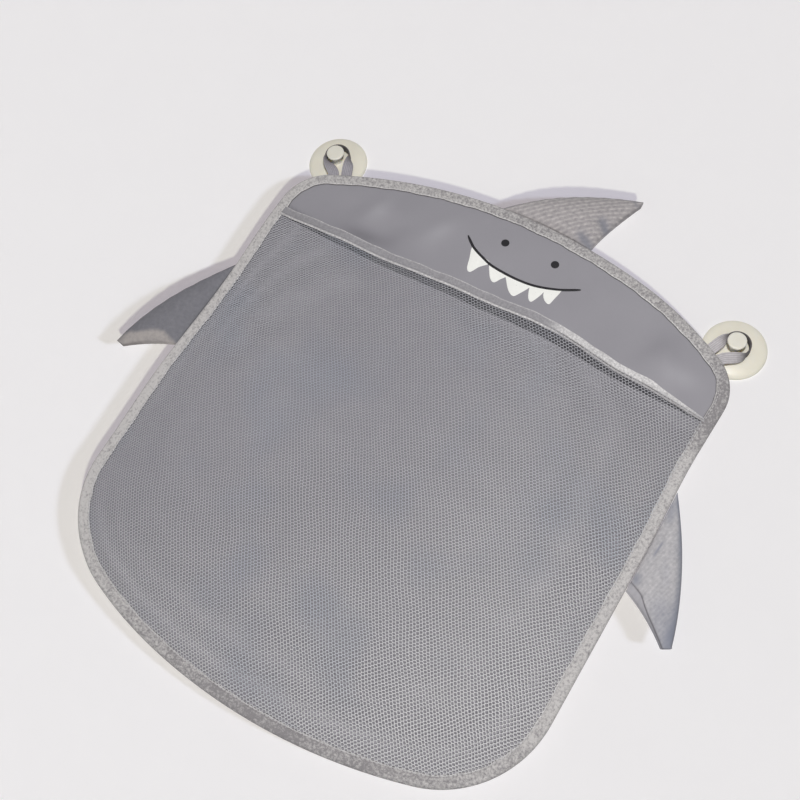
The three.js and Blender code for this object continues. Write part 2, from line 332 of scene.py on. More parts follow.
class Finish:
    """A surface that a piece can have. Each kind says its inputs."""

    def make(self, name: str) -> Material:
        """Makes the finish as a material.

        Args:
            name: the material's name.

        Returns:
            The material.
        """
        board = Board(name)
        return board.surface(self.inputs(board, board.places()))


@dataclass(frozen=True)
class CoatedFabric(Finish):
    """Smooth woven polyester with a coating. Painted sheen makes it paler on its folds, and painted shade makes it
    darker in its hollows, behind the net and just above the hem.
    """

    light: Colour = tint(152, 150, 156)
    dark: Colour = tint(141, 139, 145)
    # Painted highlight: the colour of the sheen painted on the folds.
    ridge: Colour = tint(184, 182, 188)
    # Painted shade: the colour of the shade painted in the hollows, behind the net and above the hem.
    hollow: Colour = tint(112, 110, 116)
    yarn: float = 0.55
    roughness: float = 0.5

    def inputs(self, board: Board, at: Signal) -> dict[str, Any]:
        """The inputs of its surface.

        Args:
            board: the board of its nodes.
            at: places on the piece, in metres.

        Returns:
            The inputs, by socket.
        """
        weave = board.plain_weave(at, self.yarn)
        patches = board.noise(at, 60.0, 3.0, 0.55)
        grain = board.noise(at, 1.1, 2.0)
        shade = (patches * 0.7 + grain * 0.25 + weave * 0.05).clamped()
        cloth = board.blend_colours(shade, self.dark, self.light)
        # Painted shade first, then painted sheen on the folds.
        shaded = board.blend_colours(board.attribute("shade"), cloth, self.hollow)
        return {
            "Base Color": board.blend_colours(board.attribute("fold"), shaded, self.ridge),
            "Roughness": patches * 0.14 + (self.roughness - 0.07),
            "Normal": board.relief(weave * 0.6 + grain * 0.4, 0.05, 0.5),
            "Sheen Weight": 0.12, "Sheen Roughness": 0.4, "Specular IOR Level": 0.45,
        }


@dataclass(frozen=True)
class WovenTape(Finish):
    """Matt tape with a mottled weave and a paler reverse. Painted light and shade vary its tone along the outline,
    its paler colours also carry painted highlights, and painted shade darkens its groove and inner lip.
    """

    light: Colour = tint(194, 191, 190)
    dark: Colour = tint(136, 133, 135)
    # The paler colours also serve the painted highlights and the hem's painted sheen.
    reverse_and_painted_highlight: Colour = tint(246, 244, 242)
    reverse_and_painted_highlight_dark: Colour = tint(216, 213, 213)
    groove: Colour = tint(58, 56, 60)
    rib: float = 0.9

    def inputs(self, board: Board, at: Signal) -> dict[str, Any]:
        """The inputs of its surface.

        Args:
            board: the board of its nodes.
            at: places on the piece, in metres.

        Returns:
            The inputs, by socket.
        """
        along, across, _ = board.axes(board.chart("Weave"))
        ribs = (along * (TURN / self.rib) + across * 5.0).wave()
        mottle = board.noise(at, 1.5, 3.0, 0.7)
        drift = board.noise(at, 22.0, 2.0)
        # The tone takes the painted light and shade set along the outline.
        shade = (mottle * 3.6 + ribs * 0.2 + drift * 0.6 + board.attribute("worn") - 1.8).clamped()
        worn = board.blend_colours(shade, self.dark, self.light)
        behind = board.blend_colours(shade, self.reverse_and_painted_highlight_dark, self.reverse_and_painted_highlight)
        # Painted highlights, and the hem's paler reverse with painted sheen.
        pale = board.blend_colours(board.attribute("pale"), worn, behind)
        return {
            # Dark stitch holes, and painted shade in the groove and along the inner lip.
            "Base Color": board.blend_colours((board.attribute("seam") * 0.92).clamped(), pale, self.groove),
            "Roughness": mottle * 0.15 + 0.78,
            "Normal": board.relief(ribs * 0.35 + mottle * 0.65, 0.26, 1.0),
            "Sheen Weight": 0.15, "Sheen Roughness": 0.5, "Specular IOR Level": 0.3,
        }


@dataclass(frozen=True)
class NetYarn(Finish):
    """Smooth pale polyester yarn of the net, with painted light that makes it paler towards the lower right."""

    light: Colour = tint(192, 192, 196)
    dark: Colour = tint(168, 168, 175)
    # Painted light: the colour the yarn takes towards the lower right.
    pale: Colour = tint(224, 223, 224)
    cool: Colour = tint(166, 178, 194)

    def inputs(self, board: Board, at: Signal) -> dict[str, Any]:
        """The inputs of its surface.

        Args:
            board: the board of its nodes.
            at: places on the piece, in metres.

        Returns:
            The inputs, by socket.
        """
        x, _, z = board.axes(at)
        drift = board.noise(at, 9.0, 2.0)
        fibre = board.noise(at, 0.45, 1.0)
        # Painted light: the yarn is paler towards the lower right.
        painted_light_slope = (x * 0.9 - z - 0.13) * 3.5
        yarn = board.blend_colours((drift * 0.8 + fibre * 0.4 - 0.1).clamped(), self.dark, self.light)
        lower = board.blend_colours(painted_light_slope.clamped(), yarn, self.pale)
        patches = (board.noise(at, 48.0, 1.0) * 5.0 - 2.6).clamped() * 0.45
        return {
            "Base Color": board.blend_colours(patches, lower, self.cool),
            "Roughness": fibre * 0.2 + 0.42,
            "Normal": board.relief(fibre, 0.08, 0.5),
            "Sheen Weight": 0.1, "Specular IOR Level": 0.5,
        }


@dataclass(frozen=True)
class Canvas(Finish):
    """Matt plain-woven canvas of a fin: rows of dashes that lean, a painted lit strip, painted bluish shade in its
    folds and along its leading edge, and dark seams with painted shade at its rims.
    """

    light: Colour = tint(200, 194, 193)
    dark: Colour = tint(130, 127, 130)
    # Painted light: the colour of the lit strip.
    strip: Colour = tint(180, 176, 178)
    check: float = 3.1
    contrast: float = 0.75
    depth: float = 0.12
    lean: float = 38.0
    # Painted shade: the bluish colour of the shade in the folds and along the leading edge.
    fold: Colour = tint(122, 124, 134)
    # Dark seams, and the colour of the painted shade along the strip's edge and the rims near the tip.
    seam: Colour = tint(92, 90, 94)

    def inputs(self, board: Board, at: Signal) -> dict[str, Any]:
        """The inputs of its surface.

        Args:
            board: the board of its nodes.
            at: places on the piece, in metres.

        Returns:
            The inputs, by socket.
        """
        x, _, z = board.axes(at)
        turn = TURN / (self.check * MM)
        c, s = math.cos(math.radians(self.lean)), math.sin(math.radians(self.lean))
        mottle = board.noise(at, 2.4, 3.0, 0.6)
        stray = board.noise(at, 5.0, 1.0) * 2.4 + mottle * 1.4
        rows = (z * c - x * s) * turn + stray
        dashes = (x * c + z * s) * (turn * 0.55) + rows * 0.5 + stray * 2.0
        thread = rows.wave()
        weave = thread * thread * (dashes.sine() * 0.17 + 0.36) + 0.26
        shade = (weave * self.contrast + mottle * (1.6 - self.contrast) - 0.3).clamped()
        cloth = board.blend_colours(shade, self.dark, self.light)
        # Painted light on the strip, painted shade in the folds, then dark seams with painted shade at the rims.
        lit = board.blend_colours(board.attribute("lit") * (mottle * 0.9 + 0.4), cloth, self.strip)
        folded = board.blend_colours(board.attribute("shade"), lit, self.fold)
        return {
            "Base Color": board.blend_colours(board.attribute("seam"), folded, self.seam),
            "Roughness": mottle * 0.1 + 0.82,
            "Normal": board.relief(weave * 0.7 + mottle * 0.3, self.depth, 0.7),
            "Sheen Weight": 0.15, "Sheen Roughness": 0.5, "Specular IOR Level": 0.25,
        }


@dataclass(frozen=True)
class Webbing(Finish):
    """Thin woven webbing, ribbed along its length, with painted shade on the loop's arch."""

    light: Colour = tint(170, 165, 168)
    dark: Colour = tint(112, 108, 110)
    # Painted shade: the colour of the shade painted on the loop's arch.
    dusk: Colour = tint(92, 88, 88)
    rib: float = 1.15
    pick: float = 0.7

    def inputs(self, board: Board, at: Signal) -> dict[str, Any]:
        """The inputs of its surface.

        Args:
            board: the board of its nodes.
            at: places on the piece, in metres.

        Returns:
            The inputs, by socket.
        """
        along, across, _ = board.axes(board.chart("Weave"))
        ribs = (across * (TURN / self.rib)).wave()
        picks = (along * (TURN / self.pick) + across * 2.0).wave()
        mottle = board.noise(at, 1.5, 2.0)
        shade = (ribs * 0.45 + picks * 0.15 + mottle * 0.6 - 0.1).clamped()
        cloth = board.blend_colours(shade, self.dark, self.light)
        return {
            "Base Color": board.blend_colours(board.attribute("shade"), cloth, self.dusk),
            "Roughness": mottle * 0.12 + 0.78,
            "Normal": board.relief(ribs * 0.7 + picks * 0.3, 0.14, 0.8),
            "Sheen Weight": 0.1, "Specular IOR Level": 0.3,
        }


@dataclass(frozen=True)
class Silicone(Finish):
    """Soft translucent off-white silicone."""

    light: Colour = tint(230, 227, 216)
    dark: Colour = tint(218, 215, 204)

    def inputs(self, board: Board, at: Signal) -> dict[str, Any]:
        """The inputs of its surface.

        Args:
            board: the board of its nodes.
            at: places on the piece, in metres.

        Returns:
            The inputs, by socket.
        """
        cloud = board.noise(at, 14.0, 2.0)
        skin = board.noise(at, 0.8, 2.0)
        return {
            "Base Color": board.blend_colours(cloud, self.dark, self.light),
            "Roughness": skin * 0.12 + 0.34,
            "Normal": board.relief(skin, 0.03, 0.3),
            "Subsurface Weight": 0.35, "Subsurface Radius": (1.0, 0.9, 0.7), "Subsurface Scale": 0.004,
            "Specular IOR Level": 0.45,
        }


@dataclass(frozen=True)
class PrintInk(Finish):
    """Ink printed on the fabric, thin enough for the weave to show in it."""

    light: Colour
    dark: Colour
    roughness: float = 0.55
    yarn: float = 0.55

    def inputs(self, board: Board, at: Signal) -> dict[str, Any]:
        """The inputs of its surface.

        Args:
            board: the board of its nodes.
            at: places on the piece, in metres.

        Returns:
            The inputs, by socket.
        """
        weave = board.plain_weave(at, self.yarn)
        cloud = board.noise(at, 6.0, 3.0)
        return {
            "Base Color": board.blend_colours(cloud, self.dark, self.light),
            "Roughness": cloud * 0.1 + (self.roughness - 0.05),
            "Normal": board.relief(weave, 0.03, 0.4),
            "Specular IOR Level": 0.4,
        }


@dataclass(frozen=True)
class SewingThread(Finish):
    """Twisted sewing thread."""

    light: Colour = tint(206, 204, 204)
    dark: Colour = tint(170, 168, 170)

    def inputs(self, board: Board, at: Signal) -> dict[str, Any]:
        """The inputs of its surface.

        Args:
            board: the board of its nodes.
            at: places on the piece, in metres.

        Returns:
            The inputs, by socket.
        """
        ply = board.noise(at, 0.5, 1.0)
        return {
            "Base Color": board.blend_colours(ply, self.dark, self.light),
            "Roughness": ply * 0.15 + 0.55,
            "Normal": board.relief(ply, 0.06, 0.5),
            "Sheen Weight": 0.1,
        }


# --------------------------------------------------------------------- meshes


def ease(t: Array) -> Array:
    """A share kept between 0 and 1 and eased at both ends: three squares less two cubes."""
    t = np.clip(t, 0.0, 1.0)
    return t * t * (3.0 - 2.0 * t)


def bell(distance: Array, reach: Union[Array, float]) -> Array:
    """A share that is 1 at no distance and fades with the distance's square, to 0.37 at the reach."""
    return np.exp(-(distance / reach) ** 2)


def unit(ways: Array) -> Array:
    """The same directions with a length of 1."""
    return ways / np.linalg.norm(ways, axis=1, keepdims=True)


def run_along(places: Array) -> Array:
    """The way run to each place of a row, from 0 at its first."""
    return np.concatenate([[0.0], np.cumsum(np.linalg.norm(np.diff(places, axis=0), axis=1))])


def read_off(want: Array, run: Array, places: Array) -> Array:
    """Places on a row of places, read off where the way run to them is as wanted."""
    return np.stack([np.interp(want, run, axis) for axis in places.T], axis=-1)


def slow_waves(x: Array, z: Array, waves: Table) -> Array:
    """Slow waves over the bag: the sum of amplitude times the sine of a phase that grows with x and z.

    Args:
        x: places across, in millimetres.
        z: heights, in millimetres.
        waves: each wave's amplitude, wavelength, direction in degrees and phase.

    Returns:
        The sum at each place.
    """
    total = np.zeros(np.broadcast(x, z).shape)
    for amplitude, length, direction, phase in waves:
        turn = math.radians(direction)
        run = x * math.cos(turn) + z * math.sin(turn)
        total = total + amplitude * np.sin(TURN * run / length + phase)
    return total


class Sheet:
    """Writes arrays of points as Blender meshes."""

    @staticmethod
    def mesh(name: str, points: Array, faces: Faces, finish: Material, charts: Layers = None,
             numbers: Layers = None) -> Piece:
        """Makes an object from points and faces.

        Args:
            name: the object's name.
            points: an array of n points, in millimetres.
            faces: its faces, as the numbers of their points.
            finish: its material.
            charts: UV maps, one pair of numbers for each point.
            numbers: attributes, one number for each point.

        Returns:
            The object.
        """
        mesh = bpy.data.meshes.new(name)
        mesh.from_pydata(points.reshape(-1, 3) * MM, [], faces)
        mesh.update()
        corners = np.empty(len(mesh.loops), dtype=np.int32)
        mesh.loops.foreach_get("vertex_index", corners)
        for title, chart in (charts or {}).items():
            layer = mesh.uv_layers.new(name=title)
            layer.data.foreach_set("uv", chart.reshape(-1, 2)[corners].astype(np.float32).ravel())
        for title, values in (numbers or {}).items():
            store = mesh.attributes.new(title, "FLOAT", "POINT")
            store.data.foreach_set("value", values.astype(np.float32).ravel())
        mesh.polygons.foreach_set("use_smooth", np.ones(len(mesh.polygons), dtype=bool))
        mesh.materials.append(finish)
        piece = bpy.data.objects.new(name, mesh)
        bpy.context.scene.collection.objects.link(piece)
        log.info("%s: %d points, %d faces", name, len(mesh.vertices), len(mesh.polygons))
        return piece

    @staticmethod
    def quads(rows: int, columns: int, close_rows: bool = False, close_columns: bool = True) -> Array:
        """Faces between the points of a grid.

        Args:
            rows: how many rows of points it has.
            columns: how many points a row has.
            close_rows: whether the last row joins the first.
            close_columns: whether a row's last point joins its first.

        Returns:
            An array of faces with four corners.
        """
        r = np.arange(rows if close_rows else rows - 1)[:, None]
        c = np.arange(columns if close_columns else columns - 1)[None, :]
        r2, c2 = (r + 1) % rows, (c + 1) % columns
        corners = [r * columns + c, r * columns + c2, r2 * columns + c2, r2 * columns + c]
        return np.stack([np.broadcast_to(k, (r.size, c.size)) for k in corners], axis=-1).reshape(-1, 4)

    @staticmethod
    def repeated(faces: Array, times: int, step: int) -> Array:
        """The same faces once for each of many equal parts.

        Args:
            faces: the faces of one part.
            times: how many parts there are.
            step: how many points a part has.

        Returns:
            An array of faces.
        """
        return (faces[None] + (np.arange(times) * step)[:, None, None]).reshape(-1, faces.shape[1])

    @staticmethod
    def tube(rings: int, count: int) -> list[list[int]]:
        """Faces between rings of points, with one more face to close each end.

        Args:
            rings: how many rings it has.
            count: how many points a ring has.

        Returns:
            A list of faces.
        """
        sides = [list(face) for face in Sheet.quads(rings, count)]
        return sides + [list(range(count)), list(range((rings - 1) * count, rings * count))]

    @staticmethod
    def solid(name: str, points: Array, faces: Faces, finish: Material, charts: Layers = None,
              numbers: Layers = None) -> Piece:
        """Makes an object as Sheet.mesh does and turns its faces outwards.

        Args:
            name: the object's name.
            points: an array of n points, in millimetres.
            faces: its faces.
            finish: its material.
            charts: UV maps, one pair of numbers for each point.
            numbers: attributes, one number for each point.

        Returns:
            The object.
        """
        piece = Sheet.mesh(name, points, faces, finish, charts, numbers)
        work = bmesh.new()
        work.from_mesh(piece.data)
        bmesh.ops.recalc_face_normals(work, faces=work.faces)
        work.to_mesh(piece.data)
        work.free()
        return piece


def smooth_curve(knots: Array, count: int, closed: bool = True) -> Array:
    """A smooth curve through knots: between two knots each point is the cubic whose slopes are half the way
    between the knots' neighbours.

    Args:
        knots: an array of k places.
        count: how many points the curve gets.
        closed: whether it ends where it starts.

    Returns:
        An array of count places, evenly far apart.
    """
    k = len(knots)
    spans = k if closed else k - 1
    u = np.linspace(0.0, spans, 40 * spans + 1)
    i = np.minimum(np.floor(u).astype(int), spans - 1)
    t = (u - i)[:, None]
    pick = (lambda j: knots[j % k]) if closed else (lambda j: knots[np.clip(j, 0, k - 1)])
    a, b, c, d = pick(i - 1), pick(i), pick(i + 1), pick(i + 2)
    curve = 0.5 * (2 * b + (c - a) * t + (2 * a - 5 * b + 4 * c - d) * t ** 2 + (3 * b - a - 3 * c + d) * t ** 3)
    run = run_along(curve)
    return read_off(np.linspace(0.0, run[-1], count, endpoint=not closed), run, curve)


# -------------------------------------------------------------------- the bag


@dataclass(frozen=True)
class BagForm:
    """The bag's outline, the places of its layers and the way its cloth has settled.

    Each pull is a place, how far it draws the cloth right and up, and its reach. Each crease is a place, its
    lean in degrees, its width, its length and its height.
    """

    half_width: float = 171.0
    height: float = 384.0
    crown_radius: float = 346.0
    crown_depth: float = 326.07
    shoulder_radius: float = 34.5
    corner_radius: float = 75.5
    base_radius: float = 384.0
    wall_to_panel: float = 9.0
    panel_thickness: float = 1.2
    binding_width: float = 7.0
    seam_inset: float = 7.3
    pocket_plane: float = 10.9
    mouth_drop: float = 57.0
    mouth_sag: float = 1.5
    fullness: float = 27.0
    pulls: Table = (
        (108.0, 0.0, 0.5, 1.7, 34.0), (-171.0, -65.0, -2.2, 0.0, 28.0), (-171.0, -201.0, -2.4, 0.0, 32.0),
        (171.0, -94.0, -1.8, 0.0, 26.0), (-139.0, -330.0, 1.6, 1.6, 28.0),
    )
    gape_places: tuple[float, ...] = (-171, -121, -75, -39, -7, 15, 40, 52, 60, 75, 89, 103, 171)
    gape_shares: tuple[float, ...] = (-0.1, -0.22, 0, 0.28, 0.5, 0.71, 0.93, 1, 0.9, 0.6, 0.31, 0.05, 0)
    creases: Table = (
        (-104.0, -24.0, 22.0, 10.0, 24.0, 1.5), (-58.0, -20.0, 28.0, 11.0, 22.0, 1.2),
        (-132.0, -18.0, 10.0, 9.0, 20.0, 0.9), (126.0, -38.0, -35.0, 9.0, 20.0, 1.3),
        (88.0, -30.0, -20.0, 12.0, 24.0, 0.8))
    gape: float = 10.0
    gape_lift: float = 1.4
    mouth_places: tuple[float, ...] = (-171, -140, -96, -59, -35, -20, 30, 73, 100, 128, 171)
    mouth_moves: tuple[float, ...] = (0, -1.5, -2.4, -2.0, -0.8, 0, 0, -0.5, -1.9, -2.0, 0)

    @property
    def crown_top(self) -> float:
        """The height of the crown's top."""
        return self.crown_radius - self.crown_depth

    @property
    def base_centre(self) -> float:
        """The height of the base arc's centre."""
        return self.crown_top - self.height + self.base_radius

    @property
    def shoulder_centre(self) -> Pair:
        """The centre of the shoulder's arc."""
        x = self.half_width - self.shoulder_radius
        return x, -self.crown_depth + math.sqrt((self.crown_radius - self.shoulder_radius) ** 2 - x * x)

    @property
    def corner_centre(self) -> Pair:
        """The centre of the lower corner's arc."""
        x = self.half_width - self.corner_radius
        return x, self.base_centre - math.sqrt((self.base_radius - self.corner_radius) ** 2 - x * x)

    def ring(self, count: int) -> tuple[Array, Array, Array]:
        """Even stations round the outline, clockwise from the crown: four arcs and a straight side, mirrored.

        Args:
            count: how many stations.

        Returns:
            The stations' places, the directions out of the bag there and the way run to each.
        """
        sx, sz = self.shoulder_centre
        kx, kz = self.corner_centre
        crown_end = math.atan2(sz + self.crown_depth, sx)
        corner_end = math.atan2(kz - self.base_centre, kx)
        arcs = [(0.0, -self.crown_depth, self.crown_radius, math.pi / 2, crown_end),
                (sx, sz, self.shoulder_radius, crown_end, 0.0),
                (kx, kz, self.corner_radius, 0.0, corner_end),
                (0.0, self.base_centre, self.base_radius, corner_end, -math.pi / 2)]
        at, out = [], []
        for cx, cz, radius, start, end in arcs:
            angle = np.linspace(start, end, 400)
            out.append(np.stack([np.cos(angle), np.sin(angle)], axis=-1))
            at.append(np.array([cx, cz]) + radius * out[-1])
        at, out = np.concatenate(at), np.concatenate(out)
        flip = np.array([-1.0, 1.0])
        at = np.concatenate([at, at[::-1] * flip])
        out = np.concatenate([out, out[::-1] * flip])
        run = run_along(at)
        want = np.linspace(0.0, run[-1], count, endpoint=False)
        return read_off(want, run, at), unit(read_off(want, run, out)), want

    def settle(self, x: Array, z: Array) -> tuple[Array, Array]:
        """Moves places as the hung cloth has settled: each pull fades with the square of the distance.

        Args:
            x: places across.
            z: heights.

        Returns:
            The moved places.
        """
        dx, dz = np.zeros_like(x), np.zeros_like(z)
        for px, pz, right, up, reach in self.pulls:
            share = np.exp(-((x - px) ** 2 + (z - pz) ** 2) / (2.0 * reach ** 2))
            dx, dz = dx + right * share, dz + up * share
        return x + dx, z + dz

    def seam_distance(self, x: Array, z: Array) -> Array:
        """How far a place lies inside the pocket's sewn edge.

        Args:
            x: places across.
            z: heights.

        Returns:
            The distances, below 0 outside the edge.
        """
        kx, kz = self.corner_centre
        from_corner = np.hypot(np.abs(x) - kx, z - kz)
        from_base = np.hypot(x, z - self.base_centre)
        steep = np.arctan2(z - self.base_centre, np.abs(x)) > math.atan2(kz - self.base_centre, kx)
        corner = (z < kz) & (np.abs(x) > kx) & steep
        plain = np.minimum(self.half_width - np.abs(x), self.base_radius - from_base)
        return np.where(corner, self.corner_radius - from_corner, plain) - self.seam_inset

    def panel_wave(self, x: Array, z: Array) -> Array:
        """How far the panel's cloth stands forward of its plane: slow waves that fade towards the edge.

        Args:
            x: places across.
            z: heights.

        Returns:
            The distances.
        """
        below = np.minimum(self.half_width - np.abs(x), self.base_radius - np.hypot(x, z - self.base_centre))
        edge = np.minimum(below, self.crown_radius - np.hypot(x, z + self.crown_depth))
        inside = ease((edge - self.binding_width) / 22.0)
        above = ease((z + 75.0) / 30.0)
        waves = slow_waves(x, z, ((0.5, 96.0, 24.0, 0.4), (0.3, 58.0, -38.0, 1.9), (0.16, 37.0, 71.0, 4.0)))
        creases = np.zeros(waves.shape)
        for cx, cz, lean, wide, tall, high in self.creases:
            turn = math.radians(lean)
            over = (x - cx) * math.cos(turn) - (z - cz) * math.sin(turn)
            along = (x - cx) * math.sin(turn) + (z - cz) * math.cos(turn)
            creases = creases + high * np.exp(-(over / wide) ** 2 - (along / tall) ** 2)
        return inside * above * (waves + creases)

    def mouth_line(self, x: Array) -> Array:
        """The height of the hem's middle line before the mouth gapes."""
        return -self.mouth_drop - self.mouth_sag * (1.0 - (x / self.half_width) ** 2)

    @staticmethod
    def smooth_line(x: Array, places: Sequence[float], values: Sequence[float]) -> Array:
        """A line through a few places, smoothed over 5 mm.

        Args:
            x: where it is read.
            places: the places.
            values: its values there.

        Returns:
            The values at x.
        """
        grid = np.linspace(-180.0, 180.0, 721)
        step, spread, half = 0.5, 5.0, 30
        kernel = np.exp(-0.5 * (np.arange(-half, half + 1) * step / spread) ** 2)
        line = np.pad(np.interp(grid, places, values), half, mode="edge")
        smooth = np.convolve(line, kernel / kernel.sum(), mode="valid")
        return np.interp(x, grid, smooth)

    def gape_share(self, x: Array) -> Array:
        """How far the mouth gapes at a place, as a share of its most."""
        return self.smooth_line(x, self.gape_places, self.gape_shares)

    def pocket_rise(self, x: Array, z: Array) -> Array:
        """How far the pocket stands out of its sewn plane: a quarter round from the seam over the width of a
        corner, arched across, drawn in towards the mouth, and gaping there.

        Args:
            x: places across.
            z: heights.

        Returns:
            The distances.
        """
        rise = np.clip(self.seam_distance(x, z) / (self.corner_radius - self.seam_inset), 0.0, 1.0)
        arch = 1.0 - 0.2 * (x / self.half_width) ** 2
        up = np.clip((z + 200.0) / 127.5, 0.0, 1.0)
        bulge = self.fullness * (1.0 - (1.0 - rise) ** 2) * arch * (1.0 - 0.45 * up ** 2)
        open_share = ease((z + 155.0) / 95.0) * ease(self.seam_distance(x, z) / 14.0)
        waves = slow_waves(x, z, ((0.9, 118.0, 63.0, 0.7), (0.55, 74.0, -27.0, 2.3), (0.3, 43.0, 12.0, 5.1)))
        return bulge + self.gape * self.gape_share(x) * open_share + waves * ease(rise * 1.6)

    def mouth_move(self, x: Array) -> Array:
        """How far the mouth has moved up from its even line, apart from its gaping."""
        return self.smooth_line(x, self.mouth_places, self.mouth_moves)

    def mouth_lift(self, x: Array, z: Array) -> Array:
        """How far the cloth near the mouth has moved up, which fades 130 mm below the cups."""
        return (0.6 + self.mouth_move(x) + self.gape_lift * self.gape_share(x)) * ease((z + 130.0) / 72.0)

    def on_pocket(self, x: Array, z: Array, depth: Array) -> Array:
        """Places on the pocket's cloth.

        Args:
            x: places across.
            z: heights.
            depth: how far each stands out of the cloth.

        Returns:
            An array of points.
        """
        rise = self.pocket_rise(x, z)
        sx, sz = self.settle(x, z + self.mouth_lift(x, z))
        return np.stack([sx, -(self.pocket_plane + rise + depth), sz], axis=-1)


@dataclass
class BackPanel:
    """The sheet of coated fabric with the face printed on it. Soft marks paint sheen on its crease ridges and shade
    in its hollows.
    """

    form: BagForm
    stations: int = 560
    rings: int = 142
    rear_rings: int = 32
    tucked_in: float = 2.5
    middle: Pair = (0.0, -150.0)
    innermost: float = 0.004
    contact_rise: float = 5.4
    ink_height: float = 0.14
    # Painted sheen on the crease ridges.
    painted_sheen_marks: Table = (
        (-105.0, -23.5, 68.0, 13.0, 6.0, 0.3), (-58.0, -19.5, 61.0, 13.0, 6.0, 0.25),
        (136.0, -39.0, 0.0, 12.0, 7.0, 0.25))
    # Painted shade in the hollows.
    painted_shade_marks: Table = (
        (-104.7, -47.4, 10.0, 16.0, 6.0, 0.7), (-84.0, -40.0, 65.0, 14.0, 6.0, 0.2),
        (112.0, -30.0, 60.0, 14.0, 6.0, 0.2))
    smile: Line = (
        (-39.1, -11.5), (-34.3, -15.5), (-29.1, -18.9), (-19.7, -22.6), (-11.3, -24.9), (5.4, -26.0),
        (21.0, -24.9), (36.2, -20.2), (49.8, -13.0))
    smile_width: float = 1.9
    teeth: tuple[Line, ...] = (
        ((-31.5, -17.9), (-29.0, -27.0), (-26.4, -34.6), (-23.2, -35.9), (-19.6, -29.4), (-14.9, -23.6),
         (-22.0, -21.0)),
        ((-14.2, -24.3), (-11.6, -29.6), (-8.3, -33.9), (-4.9, -35.0), (-2.0, -30.6), (0.9, -25.8), (-6.0, -25.2)),
        ((-0.2, -25.8), (3.0, -31.4), (7.6, -36.4), (11.9, -38.1), (14.8, -34.4), (18.2, -28.2), (18.6, -25.2),
         (8.0, -25.6)),
        ((18.8, -25.2), (19.2, -29.4), (21.9, -35.0), (24.7, -36.6), (26.6, -33.4), (28.4, -28.0), (28.6, -23.2),
         (23.5, -24.2)),
        ((28.8, -23.2), (29.6, -28.2), (32.8, -31.9), (36.4, -32.6), (37.6, -27.6), (38.6, -19.3), (33.5, -21.6)),
    )
    eyes: Line = ((-13.1, -4.9), (25.2, -3.8))
    eye_radius: float = 2.85

    def front(self, x: Array, z: Array, height: Array) -> Array:
        """Points on the panel's front, moved forward by a height.

        Args:
            x: places across.
            z: places up.
            height: how far the points stand off the cloth.

        Returns:
            The points.
        """
        sx, sz = self.form.settle(x, z)
        lift = self.form.wall_to_panel + self.form.panel_thickness / 2 + self.form.panel_wave(x, z)
        return np.stack([sx, -(lift + height), sz], axis=-1)

    @staticmethod
    def marks(x: Array, z: Array, marks: Table) -> Array:
        """Soft marks that fade with the square of the distance along and across them.

        Args:
            x: places across.
            z: heights.
            marks: each mark's middle, direction in degrees, length, width and strength.

        Returns:
            The marks' sum at each place.
        """
        total = np.zeros(x.shape)
        for cx, cz, lean, long, wide, strength in marks:
            turn = math.radians(lean)
            along = (x - cx) * math.cos(turn) + (z - cz) * math.sin(turn)
            over = (z - cz) * math.cos(turn) - (x - cx) * math.sin(turn)
            total = total + strength * np.exp(-(along / long) ** 2 - (over / wide) ** 2)
        return np.clip(total, 0.0, 1.0)

    def sheet(self, finish: Material) -> Piece:
        """The panel: rings that grow from the middle to the outline in front and shrink again behind.

        Args:
            finish: its material.

        Returns:
            The piece.
        """
        at, out, _ = self.form.ring(self.stations)
        edge, middle = at - out * self.tucked_in, np.array(self.middle)
        rows = np.concatenate([np.linspace(self.innermost, 1.0, self.rings),
                               np.linspace(1.0, self.innermost, self.rear_rings)])
        flat = middle + rows[:, None, None] * (edge - middle)
        rear = np.concatenate([np.zeros(self.rings), np.ones(self.rear_rings)])[:, None]
        x, z = flat[..., 0], flat[..., 1]
        points = self.front(x, z, -rear * self.form.panel_thickness)
        fold, shade = self.marks(x, z, self.painted_sheen_marks), self.marks(x, z, self.painted_shade_marks)
        front = 1.0 - rear
        # Painted shade: behind the net the cloth is darker towards the lower right, and a painted contact shadow
        # runs just above the left of the hem.
        painted_shade_behind_net = ease((x * 0.9 - z - 110.0) / 120.0) * ease((z + 385.0) / 90.0) * (z < -70.0)
        shade = np.maximum(shade, 0.3 * front * painted_shade_behind_net)
        above_hem = z - self.form.mouth_line(x) - self.contact_rise - self.form.mouth_move(x)
        shade = np.maximum(shade, 0.6 * front * bell(above_hem, 1.3) * ease((25.0 - x) / 30.0))
        piece = Sheet.solid("panel_cloth", points, Sheet.tube(len(rows), self.stations), finish, None,
                            {"fold": fold, "shade": shade})
        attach(piece, Body.BAG.value)
        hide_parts("back_panel")
        following = np.roll(edge, -1, axis=0)
        flat_area = float(np.abs(np.sum(edge[:, 0] * following[:, 1] - edge[:, 1] * following[:, 0])) / 2)
        return piece

    def patch(self, outline: Array) -> tuple[Array, Array]:
        """A printed patch: rings from its middle to its outline that fall to the cloth at its edge.

        Args:
            outline: its outline.

        Returns:
            Its points and faces.
        """
        middle, level = outline.mean(axis=0), 12
        shares = np.concatenate([np.linspace(0.02, 0.96, level), [1.0, 1.01]])
        heights = np.concatenate([np.full(level, self.ink_height), [self.ink_height * 0.7, -0.1]])
        flat = middle + shares[:, None, None] * (outline - middle)
        points = self.front(flat[..., 0], flat[..., 1], heights[:, None] + np.zeros(flat.shape[:2]))
        return points.reshape(-1, 3), Sheet.quads(len(shares), len(outline))

